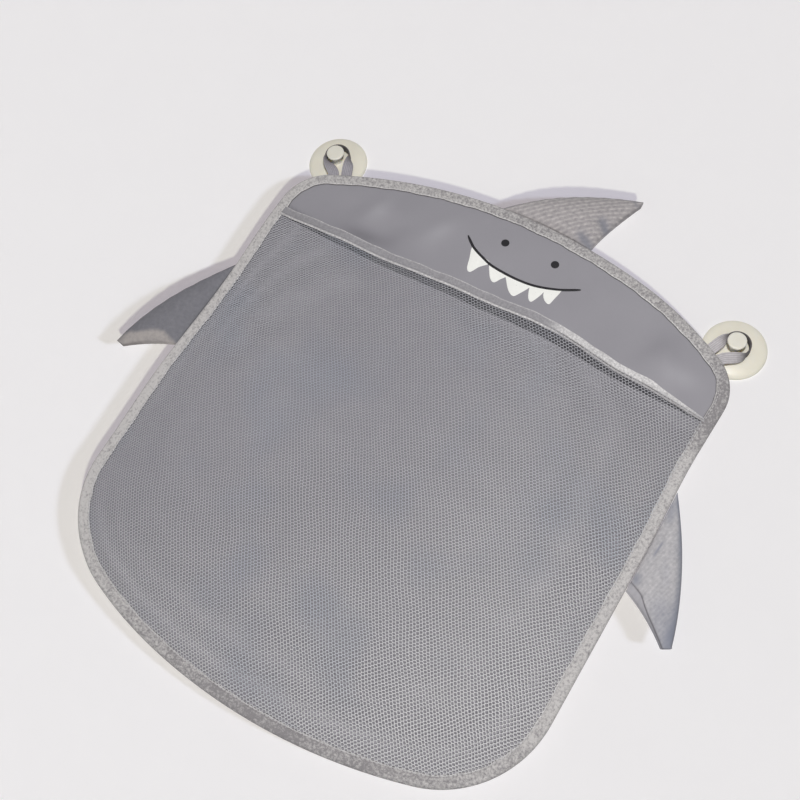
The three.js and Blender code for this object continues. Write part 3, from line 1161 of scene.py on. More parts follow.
    @staticmethod
    def join(name: str, parts: list[tuple[Array, Array]], finish: Material) -> Piece:
        """Joins printed patches into one piece that rides on the bag.

        Args:
            name: the piece's name.
            parts: points and faces of each patch.
            finish: its material.

        Returns:
            The piece.
        """
        start, points, faces = 0, [], []
        for corners, quads in parts:
            points.append(corners)
            faces.append(quads + start)
            start += len(corners)
        piece = Sheet.mesh(name, np.concatenate(points), np.concatenate(faces), finish)
        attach(piece, Body.BAG.value)
        return piece

    def face(self, black: Material, white: Material) -> None:
        """The printed eyes, smile and teeth.

        Args:
            black: the dark ink.
            white: the white ink.
        """
        teeth = [self.patch(smooth_curve(np.array(tooth), 96)) for tooth in self.teeth]
        self.join("printed_teeth", teeth, white)
        turn = np.linspace(0.0, -TURN, 64, endpoint=False)
        round_edge = np.stack([np.cos(turn), np.sin(turn)], axis=-1) * self.eye_radius
        self.join("printed_eyes", [self.patch(np.array(eye) + round_edge) for eye in self.eyes], black)
        line = smooth_curve(np.array(self.smile), 160, closed=False)
        way = unit(np.gradient(line, axis=0))
        side = np.stack([-way[:, 1], way[:, 0]], axis=-1)
        share = np.linspace(0.0, 1.0, len(line))
        half = self.smile_width / 2 * np.minimum(1.0, np.sqrt(np.minimum(share, 1 - share) / 0.09) + 0.3)
        across = np.array([1.0, 0.92, 0.5, 0.0, -0.5, -0.92, -1.0])
        height = np.array([-0.1, 0.7, 1.0, 1.0, 1.0, 0.7, -0.1]) * (self.ink_height + 0.16)
        flat = line[:, None, :] + side[:, None, :] * (half[:, None] * across)[..., None]
        points = self.front(flat[..., 0], flat[..., 1], height[None, :] + np.zeros(flat.shape[:2]))
        quads = Sheet.quads(len(line), len(across), close_columns=False)[:, ::-1]
        self.join("printed_smile", [(points.reshape(-1, 3), quads)], black)

    def make(self, cloth: Material, black: Material, white: Material) -> None:
        """Makes the panel and its print.

        Args:
            cloth: the fabric's material.
            black: the dark ink.
            white: the white ink.
        """
        self.sheet(cloth)
        self.face(black, white)


@dataclass(frozen=True)
class Stitching:
    """A row of stitches: short bent threads that dip into the cloth at both ends."""

    length: float
    pitch: float
    radius: float

    def row(self, at: Array, along: Array, up: Array) -> tuple[Array, Array]:
        """Threads at given places: each is a tube of six rings whose middle stands highest.

        Args:
            at: the places.
            along: the direction of the row at each.
            up: the direction out of the cloth at each.

        Returns:
            Their points and faces.
        """
        rings, sides = 6, 6
        share = np.linspace(-1.0, 1.0, rings)
        turn = np.linspace(0.0, TURN, sides, endpoint=False)
        wide = self.radius * np.sqrt(np.clip(1.04 - share ** 4, 0.03, 1.0))
        lift = self.radius * (0.8 - 2.2 * share ** 4)
        across = np.cross(up, along)
        local_along = (share * self.length / 2)[:, None] + np.zeros(sides)
        local_across = wide[:, None] * np.cos(turn)
        local_up = lift[:, None] + wide[:, None] * np.sin(turn)
        points = at[:, None, None, :]
        for way, local in ((along, local_along), (across, local_across), (up, local_up)):
            points = points + way[:, None, None, :] * local[None, ..., None]
        return points.reshape(-1, 3), Sheet.repeated(Sheet.quads(rings, sides), len(at), rings * sides)


@dataclass
class EdgeTape:
    """The bias tape rolled round the bag's outline and sewn through. Its tables give the painted light and shade of
    its tone, and the strength of the painted highlight on its inner edge, by the way run round the outline."""

    form: BagForm
    stations: int = 1500
    width: float = 8.3
    pucker: float = 0.2
    groove: float = 7.2
    # Painted light and shade of the tone along the outline.
    worn: Line = (
        (0, 0.0), (110, 0.1), (180, -0.1), (210, -0.4), (226, -0.1), (240, 0.25), (280, 0.4), (330, 0.35),
        (420, 0.45), (520, 0.0), (600, -0.3), (651, -0.35), (740, 0.1), (830, 0.5), (930, 0.65), (1000, 0.5),
        (1080, 0.5), (1130, 0.4), (1200, 0.2), (1302, 0.0))
    # Painted highlight on the inner edge along the outline.
    painted_brim_highlight: Line = (
        (0, 0.95), (120, 0.95), (180, 0.5), (240, 0.3), (500, 0.3), (600, 0.6), (800, 0.6), (1000, 0.6),
        (1200, 0.8), (1302, 0.95))
    whole_run: float = 1302.0
    stitch_height: float = 1.6
    sewing: Stitching = Stitching(length=2.6, pitch=3.0, radius=0.3)

    def section(self) -> Array:
        """The tape's section: distance inside the outline and height over the panel's middle, from the
        inner edge in front, over the roll, to the inner edge behind, and back along the slot.

        Returns:
            An array of places.
        """
        wide, sewn = self.width, self.groove
        front = [(wide - 0.05, 0.85), (wide, 1.3), (wide - 0.2, 1.6), (wide - 0.5, 1.72), (sewn + 0.25, 1.66),
                 (sewn, 1.56), (sewn - 0.3, 1.7), (sewn - 0.7, 1.9), (sewn - 1.4, 2.0), (sewn - 2.2, 2.0),
                 (sewn - 3.1, 1.98), (3.2, 2.02), (2.7, 2.1)]
        turn = np.linspace(math.radians(98), math.radians(262), 15)
        roll = [(2.2 * (1.0 + math.cos(a)), 2.3 * math.sin(a)) for a in turn]
        rear = [(inset, -height) for inset, height in reversed(front)]
        slot = [(wide - 0.4, -0.72), (4.9, -0.7), (2.4, -0.68), (2.3, 0.0), (2.4, 0.68), (4.9, 0.7),
                (wide - 0.4, 0.72)]
        return np.array(front + roll + rear + slot)

    def surface(self, run: Array, inset: Array, height: Array) -> tuple[Array, Array]:
        """Puckers: the tape's face rises and falls between its stitches, and its width wanders.

        Args:
            run: the way run round the outline.
            inset: distances inside the outline.
            height: heights over the panel's middle.

        Returns:
            The inset and height with puckers.
        """
        ripple = np.sin(TURN * run / 4.3 + 1.3 * np.sin(TURN * run / 37.0))
        ripple = ripple * (0.65 + 0.35 * np.sin(TURN * run / 61.0 + 1.0))
        slow = np.sin(TURN * run / 23.0 + 0.6) + 0.7 * np.sin(TURN * run / 14.3 + 2.2)
        tall = height + np.sign(height) * bell(inset - 5.4, 2.2) * (self.pucker * ripple + 0.1 * slow)
        wander = 0.22 * np.sin(TURN * run / 31.0 + 0.9) + 0.14 * np.sin(TURN * run / 12.7)
        wander = wander + 0.9 * bell(run - 215.0, 55.0)
        return inset + wander * ease((inset - 2.0) / 5.0) * (np.abs(height) > 0.8), tall

    def make(self, finish: Material, thread: Material) -> None:
        """Makes the tape and its stitches.

        Args:
            finish: the tape's material.
            thread: the thread's material.
        """
        at, out, run = self.form.ring(self.stations)
        section = self.section()
        table_run = run[:, None] * (self.whole_run / (run[-1] + run[1]))
        inset, height = self.surface(table_run, section[None, :, 0], section[None, :, 1])
        flat = at[:, None, :] - out[:, None, :] * inset[..., None]
        x, z = self.form.settle(flat[..., 0], flat[..., 1])
        points = np.stack([x, -(self.form.wall_to_panel + height), z], axis=-1)
        in_front = section[:, 1] > 0
        # Painted contact shadow along the inner lip, and dark stitch holes in the groove.
        lip = (section[:, 0] > self.width - 0.3) * (section[:, 1] > 0.7)
        hole = np.clip(-np.cos(TURN * table_run / self.sewing.pitch), 0.0, 1.0)
        hole = hole * bell(section[:, 0] - self.groove, 0.3)
        seam = np.maximum(np.broadcast_to(0.74 * lip, inset.shape), 0.55 * hole * in_front)
        # Painted highlight along the inner fold edge.
        painted_edge_highlight = bell(section[:, 0] - self.width + 0.65, 0.4) * in_front
        pale = painted_edge_highlight * np.interp(table_run, *zip(*self.painted_brim_highlight))
        chart = np.stack(np.broadcast_arrays(run[:, None], section[None, :, 0]), axis=-1)
        worn = np.broadcast_to(np.interp(table_run, *zip(*self.worn)), inset.shape)
        piece = Sheet.solid("edge_tape", points, Sheet.quads(len(run), len(section), close_rows=True), finish,
                            {"Weave": chart}, {"seam": seam, "pale": pale, "worn": worn})
        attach(piece, Body.BAG.value)
        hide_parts("edge_binding")
        self.stitches(thread)

    def stitches(self, thread: Material) -> Piece:
        """The row of stitches along the tape's inner edge.

        Args:
            thread: the thread's material.

        Returns:
            The piece.
        """
        count = int(round(self.whole_run / self.sewing.pitch))
        at, out, _ = self.form.ring(count)
        along = np.stack([out[:, 1], np.zeros(count), -out[:, 0]], axis=-1)
        flat = at - out * self.groove
        x, z = self.form.settle(flat[:, 0], flat[:, 1])
        up = np.tile(np.array([0.0, -1.0, 0.0]), (count, 1))
        place = np.stack([x, np.full(count, -(self.form.wall_to_panel + self.stitch_height)), z], axis=-1)
        piece = Sheet.solid("edge_stitches", *self.sewing.row(place, along, up), thread)
        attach(piece, Body.BAG.value)
        return piece


@dataclass
class Pocket:
    """The gathered pocket of net and the folded tape along its mouth.

    The net is laid out in rows of six-sided meshes, turned a little, that start behind the tape. Its strays are
    waves that carry the corners of its meshes out of line, across and up.
    """

    form: BagForm
    half_columns: int = 90
    rows: tuple[int, int] = (-12, 215)
    first_row: float = 56.0
    past_seam: float = 1.9
    gathers: float = 1.04
    tucked_in: float = 3.0
    pitch: float = 2.37
    row_height: float = 1.63
    yarn: float = 0.37
    yarn_height: float = 0.2
    turned: float = -3.0
    splits: Pair = (-155.0, -250.0)
    strays: tuple[Table, Table] = (
        ((0.5, 83.0, 15.0, 0.2), (0.3, 31.0, 80.0, 2.0), (0.1, 5.3, 41.0, 0.0)),
        ((0.6, 97.0, 70.0, 1.2), (0.3, 37.0, -20.0, 0.5), (0.1, 4.7, -63.0, 3.0)))
    stations: int = 520
    tape_half: float = 163.7
    sewn_half: float = 160.0
    ridge_drop: float = 2.8
    stitch_height: float = 1.24
    sewing: Stitching = Stitching(length=2.3, pitch=3.0, radius=0.24)

    def cells(self) -> Array:
        """The middles of the net's six-sided meshes, in rows shifted by half a mesh.

        Returns:
            An array of places.
        """
        columns = np.arange(-self.half_columns, self.half_columns + 1)[None, :]
        rows = np.arange(*self.rows)[:, None]
        across = (columns * self.pitch + (rows % 2) * self.pitch / 2 + np.zeros(rows.shape)).ravel()
        down = (rows * self.row_height + np.zeros(columns.shape)).ravel()
        turn = math.radians(self.turned)
        x = across * math.cos(turn) + down * math.sin(turn)
        z = across * math.sin(turn) - down * math.cos(turn) - self.first_row
        keep = (self.form.seam_distance(x, z) > -self.past_seam) & (z < self.form.mouth_line(x) - self.past_seam)
        return np.stack([x[keep], z[keep]], axis=-1)

    def yarns(self, cells: Array) -> tuple[Array, Array, Array]:
        """Three yarns of each mesh, as ridged strips: its two upper sides and its right side.

        Args:
            cells: the middles of the meshes.

        Returns:
            Points on the pocket, faces and flat places.
        """
        half = self.pitch / 2
        shoulder = (self.row_height - half ** 2 / self.row_height) / 2
        corners = np.array([[0.0, self.row_height - shoulder], [-half, shoulder], [half, shoulder],
                            [half, -shoulder]])
        turn = math.radians(self.turned)
        turned = np.array([[math.cos(turn), math.sin(turn)], [-math.sin(turn), math.cos(turn)]])
        top, left, right, low = corners @ turned
        start = np.concatenate([cells + top, cells + right, cells + right])
        end = np.concatenate([cells + left, cells + top, cells + low])

        def strayed(p: Array) -> Array:
            """Corners of the net, a little out of line."""
            return p + np.stack([slow_waves(p[:, 0], p[:, 1], waves) for waves in self.strays], axis=-1)

        start, end = strayed(start), strayed(end)
        way = unit(end - start)
        side = np.stack([-way[:, 1], way[:, 0]], axis=-1) * self.yarn / 2
        flat = np.stack([start + side, start - side, start, end + side, end - side, end], axis=1)
        depth = np.tile(np.array([0.0, 0.0, self.yarn_height]), 2)
        tuck = -0.9 * ease((1.4 - self.form.seam_distance(flat[..., 0], flat[..., 1])) / 2.4)
        points = self.form.on_pocket(flat[..., 0], flat[..., 1], depth[None, :] + tuck)
        strip = np.array([[0, 2, 5, 3], [2, 1, 4, 5], [1, 0, 3, 4]])
        return points.reshape(-1, 3), Sheet.repeated(strip, len(start), 6), flat.reshape(-1, 2)

    def net(self, finish: Material) -> None:
        """The net, in three pieces one under another.

        Args:
            finish: the yarn's material.
        """
        cells = self.cells()
        first, second = self.splits
        height = cells[:, 1]
        parts = {"net_upper": height > first, "net_middle": (height <= first) & (height > second),
                 "net_lower": height <= second}
        for name, chosen in parts.items():
            part = cells[chosen]
            points, faces, flat = self.yarns(part)
            low, high = flat.min(axis=0), flat.max(axis=0)
            piece = Sheet.mesh(name, points, faces, finish, {"OFBake": (flat - low) / (high - low)})
            piece.data.polygons.foreach_set("use_smooth", np.zeros(len(faces), dtype=bool))
            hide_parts("pocket_net")
            width, length = (float(extent) + 2 * self.tucked_in for extent in high - low)
            self.hinge(piece)

    def hinge(self, piece: Piece) -> None:
        """Bakes a piece's placement into its mesh."""
        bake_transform(piece)

    def section(self) -> tuple[Array, Array]:
        """The hem's section as depth in front of the cloth and height over its middle line.

        Returns:
            The section's places and the share of each that belongs to the flat band.
        """
        ridge = [(0.3 + 0.8 * math.cos(a), 0.75 * math.sin(a) - self.ridge_drop)
                 for a in np.radians(np.arange(75, -110, -20))]
        front = [(-0.25, 3.62), (0.2, 3.62), (0.55, 3.42), (0.58, 3.1), (0.36, 2.85), (0.36, 1.8), (0.4, 0.6),
                 (0.42, -0.6), (0.4, -1.4), (0.3, -1.65), (0.2, -1.95)]
        rear = [(-0.5, -3.3), (-0.75, -2.4), (-0.75, 0.0), (-0.75, 2.6), (-0.6, 3.4)]
        places = np.array(front + ridge + rear)
        band = np.zeros(len(places))
        band[2:10] = 1.0
        return places, band

    def hem(self, finish: Material, thread: Material) -> None:
        """The folded tape: its section carried along the mouth. On its right it leans back, shows its paler reverse
        with painted sheen and runs thin. Painted highlights run along its upper edge and lower ridge, and painted
        shade lies in its groove.

        Args:
            finish: the tape's material.
            thread: the thread's material.
        """
        x = np.linspace(-self.tape_half, self.tape_half, self.stations)
        places, band = self.section()
        shown = (places[:, 0] > 0)[None, :]
        # The share on the right that leans back and shows its paler reverse with painted sheen.
        paler = ease((x - 46.0) / 16.0)[:, None]
        thin = 1.0 - 0.72 * ease((x - 118.0) / 46.0)[:, None]
        depth = places[None, :, 0] + np.zeros((len(x), 1))
        height = places[None, :, 1] + np.zeros((len(x), 1))
        groove = bell(places[None, :, 1] + 1.85, 0.42) * shown
        depth = depth - paler * (0.8 * groove + 0.2 * (height + 1.9) * (height > -1.7))
        height = np.where(height > -2.0, -2.0 + (height + 2.0) * thin, height)
        ripple = np.sin(TURN * x / 5.1 + 1.1 * np.sin(TURN * x / 43.0))[:, None]
        slow = (np.sin(TURN * x / 29.0 + 0.4) + 0.6 * np.sin(TURN * x / 17.0))[:, None]
        depth = depth + (0.07 * ripple + 0.1 * slow) * shown
        height = height + 0.16 * slow * (places[None, :, 1] > 1.0)
        middle = self.form.mouth_line(x)[:, None]
        across = np.broadcast_to(x[:, None], depth.shape)
        points = self.form.on_pocket(across, middle + np.zeros(depth.shape), depth)
        points[..., 2] += height
        # Painted shade in the groove, deepest on the right.
        seam = 1.2 * groove * (0.15 + 0.85 * paler)
        # Painted highlights on the upper edge and the lower ridge, and painted sheen on the right's paler band.
        painted_edge_highlight = 0.7 * (np.abs(places[:, 1] - 3.4) < 0.4)[None, :]
        ridge = (1.0 - 0.6 * paler) * (places[:, 1] < -2.1)[None, :] * shown
        pale = np.clip(np.maximum(band[None, :] * paler, painted_edge_highlight + ridge), 0, 1)
        piece = Sheet.solid("mouth_tape", points, Sheet.tube(len(x), len(places)), finish,
                            {"Weave": np.stack([across, height], axis=-1)}, {"seam": seam, "pale": pale})
        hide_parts("pocket_hem")
        stitches = self.stitches(thread)
        self.hinge(piece)
        self.hinge(stitches)

    def stitches(self, thread: Material) -> Piece:
        """The row of stitches on the hem's ridge.

        Args:
            thread: the thread's material.

        Returns:
            The piece.
        """
        x = np.arange(-self.sewn_half, self.sewn_half, self.sewing.pitch)
        line, height = self.form.mouth_line(x), np.full(len(x), self.stitch_height)
        at, ahead = (self.form.on_pocket(x + step, line, height) for step in (0.0, 0.5))
        at[:, 2] -= self.ridge_drop
        ahead[:, 2] -= self.ridge_drop
        along = unit(ahead - at)
        up = np.cross(along, np.array([0.0, 0.0, 1.0]))
        up *= -np.sign(up[:, 1:2])
        piece = Sheet.solid("mouth_stitches", *self.sewing.row(at, along, unit(up)), thread)
        return piece

    def make(self, yarn: Material, tape: Material, thread: Material) -> None:
        """Makes the net, the hem and its stitches.

        Args:
            yarn: the net's material.
            tape: the tape's material.
            thread: the thread's material.
        """
        self.net(yarn)
        self.hem(tape, thread)


# ----------------------------------------------------------------------- fins


@dataclass
class StuffedFin:
    """A fin of two skins sewn together at their edges and filled.

    Its plan is laid out from the start of its leading edge: along the seam over its base, and out from the seam over
    its reach. The strip gives the width of the painted lit strip along the trailing edge, by the way out. The lead
    band is painted shade along the leading edge: its width at the root and at the tip, and its strength. Each pucker
    is a place, its lean in degrees, its length, width and depth, and the strength of its painted shade. Painted
    shade also runs along the strip's edge and along the rims near the tip. A fin with a bend is not attached to its
    body, and the two places of its bend are not used.
    """

    form: BagForm
    name: str
    body: Body
    nodes: tuple[str, ...]
    base: float
    reach: float
    sweep: float
    tip: float
    thickness: float
    lead: Pair
    trail: Pair
    seat: Callable[[Array, Array, Array], tuple[Array, Array]]
    cut: float = 0.0
    strip: Line = ((0.0, 0.0),)
    strip_soft: float = 1.0
    strip_line: float = 0.0
    lead_band: Triple = (1.0, 2.0, 0.3)
    # Strength of the shade painted along the rims near the tip.
    painted_tip_shade: float = 0.4
    puckers: Table = ()
    bend: Optional[Pair] = None
    around: int = 208
    out_steps: int = 100

    def plan(self, across: Array, along: Array) -> tuple[Array, Array]:
        """The fin's plan: the way from its leading to its trailing edge, each a curve of the second degree
        from the root to the tip.

        Args:
            across: the share from the leading to the trailing edge.
            along: the share from the root to the tip.

        Returns:
            Places along the seam and out from it.
        """
        def bent(start: Pair, pull: Pair, end: Pair) -> list[Array]:
            """A curve from start to end, drawn towards pull."""
            return [(1 - along) ** 2 * a + 2 * along * (1 - along) * b + along ** 2 * c
                    for a, b, c in zip(start, pull, end)]
        tip_at = (self.base + self.sweep, self.reach)
        lead = bent((0.0, 0.0), (self.lead[0] * self.base, self.lead[1] * self.reach), tip_at)
        trail = bent((self.base, 0.0), (self.base + self.trail[0] * self.sweep, self.trail[1] * self.reach),
                     (tip_at[0] + self.cut, tip_at[1] - self.tip))
        return tuple(a + (b - a) * across for a, b in zip(lead, trail))

    def swell(self, along: Array) -> Array:
        """Half the fin's thickness on its middle line: thin at the seam, full a third of the way out."""
        ends = 0.12 + 0.18 * along
        return self.thickness / 2 * (ends + (1 - ends) * np.sin(np.pi * np.clip(along, 0, 1) ** (1 / 1.4)))

    def puckered(self, x: Array, out: Array, height: Array, shade: Array) -> tuple[Array, Array]:
        """Flattens the fin at its puckers and paints shade in them.

        Args:
            x: places along the seam.
            out: places out from it.
            height: half the fin's thickness at each.
            shade: the painted shade at each.

        Returns:
            The height and shade with puckers.
        """
        for px, pout, lean, long, thin, depth, dark in self.puckers:
            turn = math.radians(lean)
            over = (x - px) * math.cos(turn) + (out - pout) * math.sin(turn)
            beside = (out - pout) * math.cos(turn) - (x - px) * math.sin(turn)
            near = np.exp(-(over / long) ** 4 - (beside / thin) ** 2)
            height, shade = height * (1 - depth * near), shade + dark * near
        return height, shade

    def make(self, finish: Material) -> Piece:
        """The fin: ellipses across the plan, from the root to a rounded tip, puckered along the seams.

        Args:
            finish: its material.

        Returns:
            The piece.
        """
        turn = np.linspace(0.0, TURN, self.around, endpoint=False)
        even = np.linspace(0.0, 1.0, self.out_steps)
        share = ease(even) * 0.35 + even * 0.65
        cap = np.radians(np.arange(15, 91, 15))
        along = np.concatenate([share, np.ones(len(cap))])[:, None]
        draw = np.concatenate([np.ones(len(share)), np.maximum(np.cos(cap), 0.02)])[:, None]
        push = np.concatenate([np.zeros(len(share)), np.sin(cap)])[:, None] * 1.3
        across = 0.5 - 0.5 * np.cos(turn)[None, :] * draw
        along = along + np.zeros(across.shape)
        flat_x, flat_out = self.plan(across, along)
        length = self.reach * along
        edge = np.abs(np.sin(turn))[None, :] + np.zeros(across.shape)
        plump = np.sign(np.sin(turn)) * np.abs(np.sin(turn)) ** 0.82
        height = self.swell(along) * plump[None, :] * draw
        gather = np.sin(TURN * (length + 3 * across) / 4.7 + 1.6 * np.sin(length / 9.0)) * np.exp(-edge / 0.42)
        height = height * (1 + 0.16 * gather)
        near_x, near_out = self.plan(np.zeros(across.shape), along)
        far_x, far_out = self.plan(np.ones(across.shape), along)
        wide = np.hypot(far_x - near_x, far_out - near_out)
        from_lead, from_trail = across * wide, (1.0 - across) * wide
        # Painted shade along the leading edge, then in the puckers.
        first, last, strong = self.lead_band
        shade = strong * bell(from_lead, first + (last - first) * along)
        height, shade = self.puckered(flat_x, flat_out, height, shade)
        # Painted light on the strip along the trailing edge, and painted shade along its edge.
        strip_out, strip_wide = zip(*self.strip)
        inside = from_trail - np.interp(flat_out, strip_out, strip_wide)
        lit = 1.0 - ease(inside / self.strip_soft + 0.5)
        line = self.strip_line * bell(inside, 0.5)
        height = height * (1.0 - 0.12 * line - 0.1 * lit)
        # Painted shade along the rims near the tip.
        painted_tip_rim_shade = self.painted_tip_shade * (bell(from_trail, 1.1) + bell(from_lead, 1.1)) * ease((along - 0.3) / 0.6)
        rim = bell(edge, 0.09) * draw
        flat_x = flat_x + np.where(across < 0.5, -0.55, 0.55) * rim
        x, z = self.form.settle(*self.seat(flat_x, flat_out + push, along))
        points = np.stack([x, -(self.form.wall_to_panel + height), z], axis=-1)
        sewn = bell(edge - 0.16, 0.06) * draw * 0.25
        seam = np.clip(np.maximum(sewn, np.maximum(line, painted_tip_rim_shade)), 0.0, 1.0)
        piece = Sheet.solid(self.name, points, Sheet.tube(len(points), self.around), finish, None,
                            {"seam": seam, "lit": lit, "shade": np.clip(shade, 0.0, 1.0)})
        if self.bend is None:
            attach(piece, self.body.value)
        else:
            start, end = self.bend
            start * MM
            end * MM
            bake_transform(piece)
        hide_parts(*self.nodes)
        return piece


@dataclass
class Fins:
    """The fin on top and the two at the sides."""

    form: BagForm
    side_drop: float = 110.0
    clearance: float = 0.3
    top_shift: float = 6.5
    top_base: float = 69.0

    def top_seat(self, along: Array, out: Array, share: Array) -> tuple[Array, Array]:
        """The top fin's seat: it follows the crown at its root and straightens towards its tip.

        Args:
            along: places along the base in the plan.
            out: places out from the base in the plan.
            share: 0 at the root and 1 at the tip.

        Returns:
            The places on the bag, across and up.
        """
        x = along - self.top_base / 2 + self.top_shift
        sag = self.form.crown_radius - np.sqrt(self.form.crown_radius ** 2 - x ** 2)
        return x, self.form.crown_top + self.clearance + out - sag * (1 - share) ** 2

    def side_seat(self, side: Side) -> Callable[[Array, Array, Array], tuple[Array, Array]]:
        """The seat of a side fin, whose plan hangs down from the top of its base.

        Args:
            side: the side of the bag.

        Returns:
            A function from places in the plan to places on the bag.
        """
        def seat(down: Array, out: Array, _: Array) -> tuple[Array, Array]:
            """Places on the bag from places in the plan."""
            return side.value * (self.form.half_width + self.clearance + out), -self.side_drop - down
        return seat

    def make(self, top: Material, left: Material, right: Material) -> None:
        """Makes the three fins.

        Args:
            top: the top fin's material.
            left: the left fin's material.
            right: the right fin's material.
        """
        def nodes(side: str) -> tuple[str, ...]:
            """The fin's nodes in the frame."""
            return tuple(f"{side}_fin_{part}" for part in ("front_skin", "rear_skin", "filling"))

        StuffedFin(
            self.form, "dorsal_fin", Body.TOP_FIN, nodes("top"), base=self.top_base, reach=48.0, sweep=14.0, tip=5.0,
            thickness=15.0, lead=(0.52, 0.70), trail=(0.12, 0.28), seat=self.top_seat, painted_tip_shade=0.45,
            puckers=((63.0, 2.5, -19.0, 8.0, 2.9, 0.35, 0.8), (69.0, 17.2, -37.0, 6.5, 3.2, 0.3, 0.8),
                     (80.0, 43.0, -40.0, 3.5, 1.5, 0.1, 0.35))).make(top)
        StuffedFin(
            self.form, "left_side_fin", Body.LEFT_FIN, nodes("left"), base=71.5, reach=39.0, sweep=17.6, tip=7.0,
            thickness=13.0, lead=(0.64, 0.83), trail=(0.36, 0.42), seat=self.side_seat(Side.LEFT), cut=0.9,
            bend=(-170.0, -177.0),
            strip=((0.0, 0.5), (5.0, 3.5), (11.0, 7.5), (18.0, 8.5), (28.0, 7.5), (34.0, 9.0)), strip_soft=4.0,
            lead_band=(1.5, 4.0, 0.4), painted_tip_shade=0.5,
            puckers=((26.0, 14.0, 80.0, 12.0, 4.0, 0.1, 0.15),)).make(left)
        StuffedFin(
            self.form, "right_side_fin", Body.RIGHT_FIN, nodes("right"), base=71.0, reach=39.0, sweep=17.5, tip=5.6,
            thickness=13.0, lead=(0.67, 0.75), trail=(0.45, 0.48), seat=self.side_seat(Side.RIGHT), cut=3.3,
            bend=(170.0, 177.0),
            strip=((0.0, 6.0), (9.0, 5.4), (14.0, 3.0), (19.0, 1.6), (28.0, 0.8), (40.0, 0.6)),
            strip_line=0.85, lead_band=(2.5, 8.0, 0.75), painted_tip_shade=0.3,
            puckers=((39.5, 5.2, -6.0, 5.5, 0.8, 0.1, 0.7), (62.0, 2.0, 20.0, 4.0, 3.0, 0.2, 0.6),
                     (13.0, 2.0, 10.0, 8.0, 3.0, 0.1, 0.5), (30.0, 15.0, 15.0, 10.0, 3.5, 0.1, 0.18),
                     (52.0, 16.0, 25.0, 9.0, 3.0, 0.1, 0.15), (78.0, 27.0, 30.0, 14.0, 8.0, 0.0, 0.4))).make(right)


# ------------------------------------------------------------- loops and cups


def shadowless(*pieces: Piece) -> bpy.types.Collection:
    """The pieces that leave no shadow on the wall: the cups that lie on it and their loops.

    Args:
        pieces: further pieces.

    Returns:
        Their collection.
    """
    name = "no_shadow_on_the_wall"
    group = bpy.data.collections.get(name) or bpy.data.collections.new(name)
    for piece in pieces:
        group.objects.link(piece)
    for member in group.collection_objects:
        member.light_linking.link_state = "EXCLUDE"
    return group


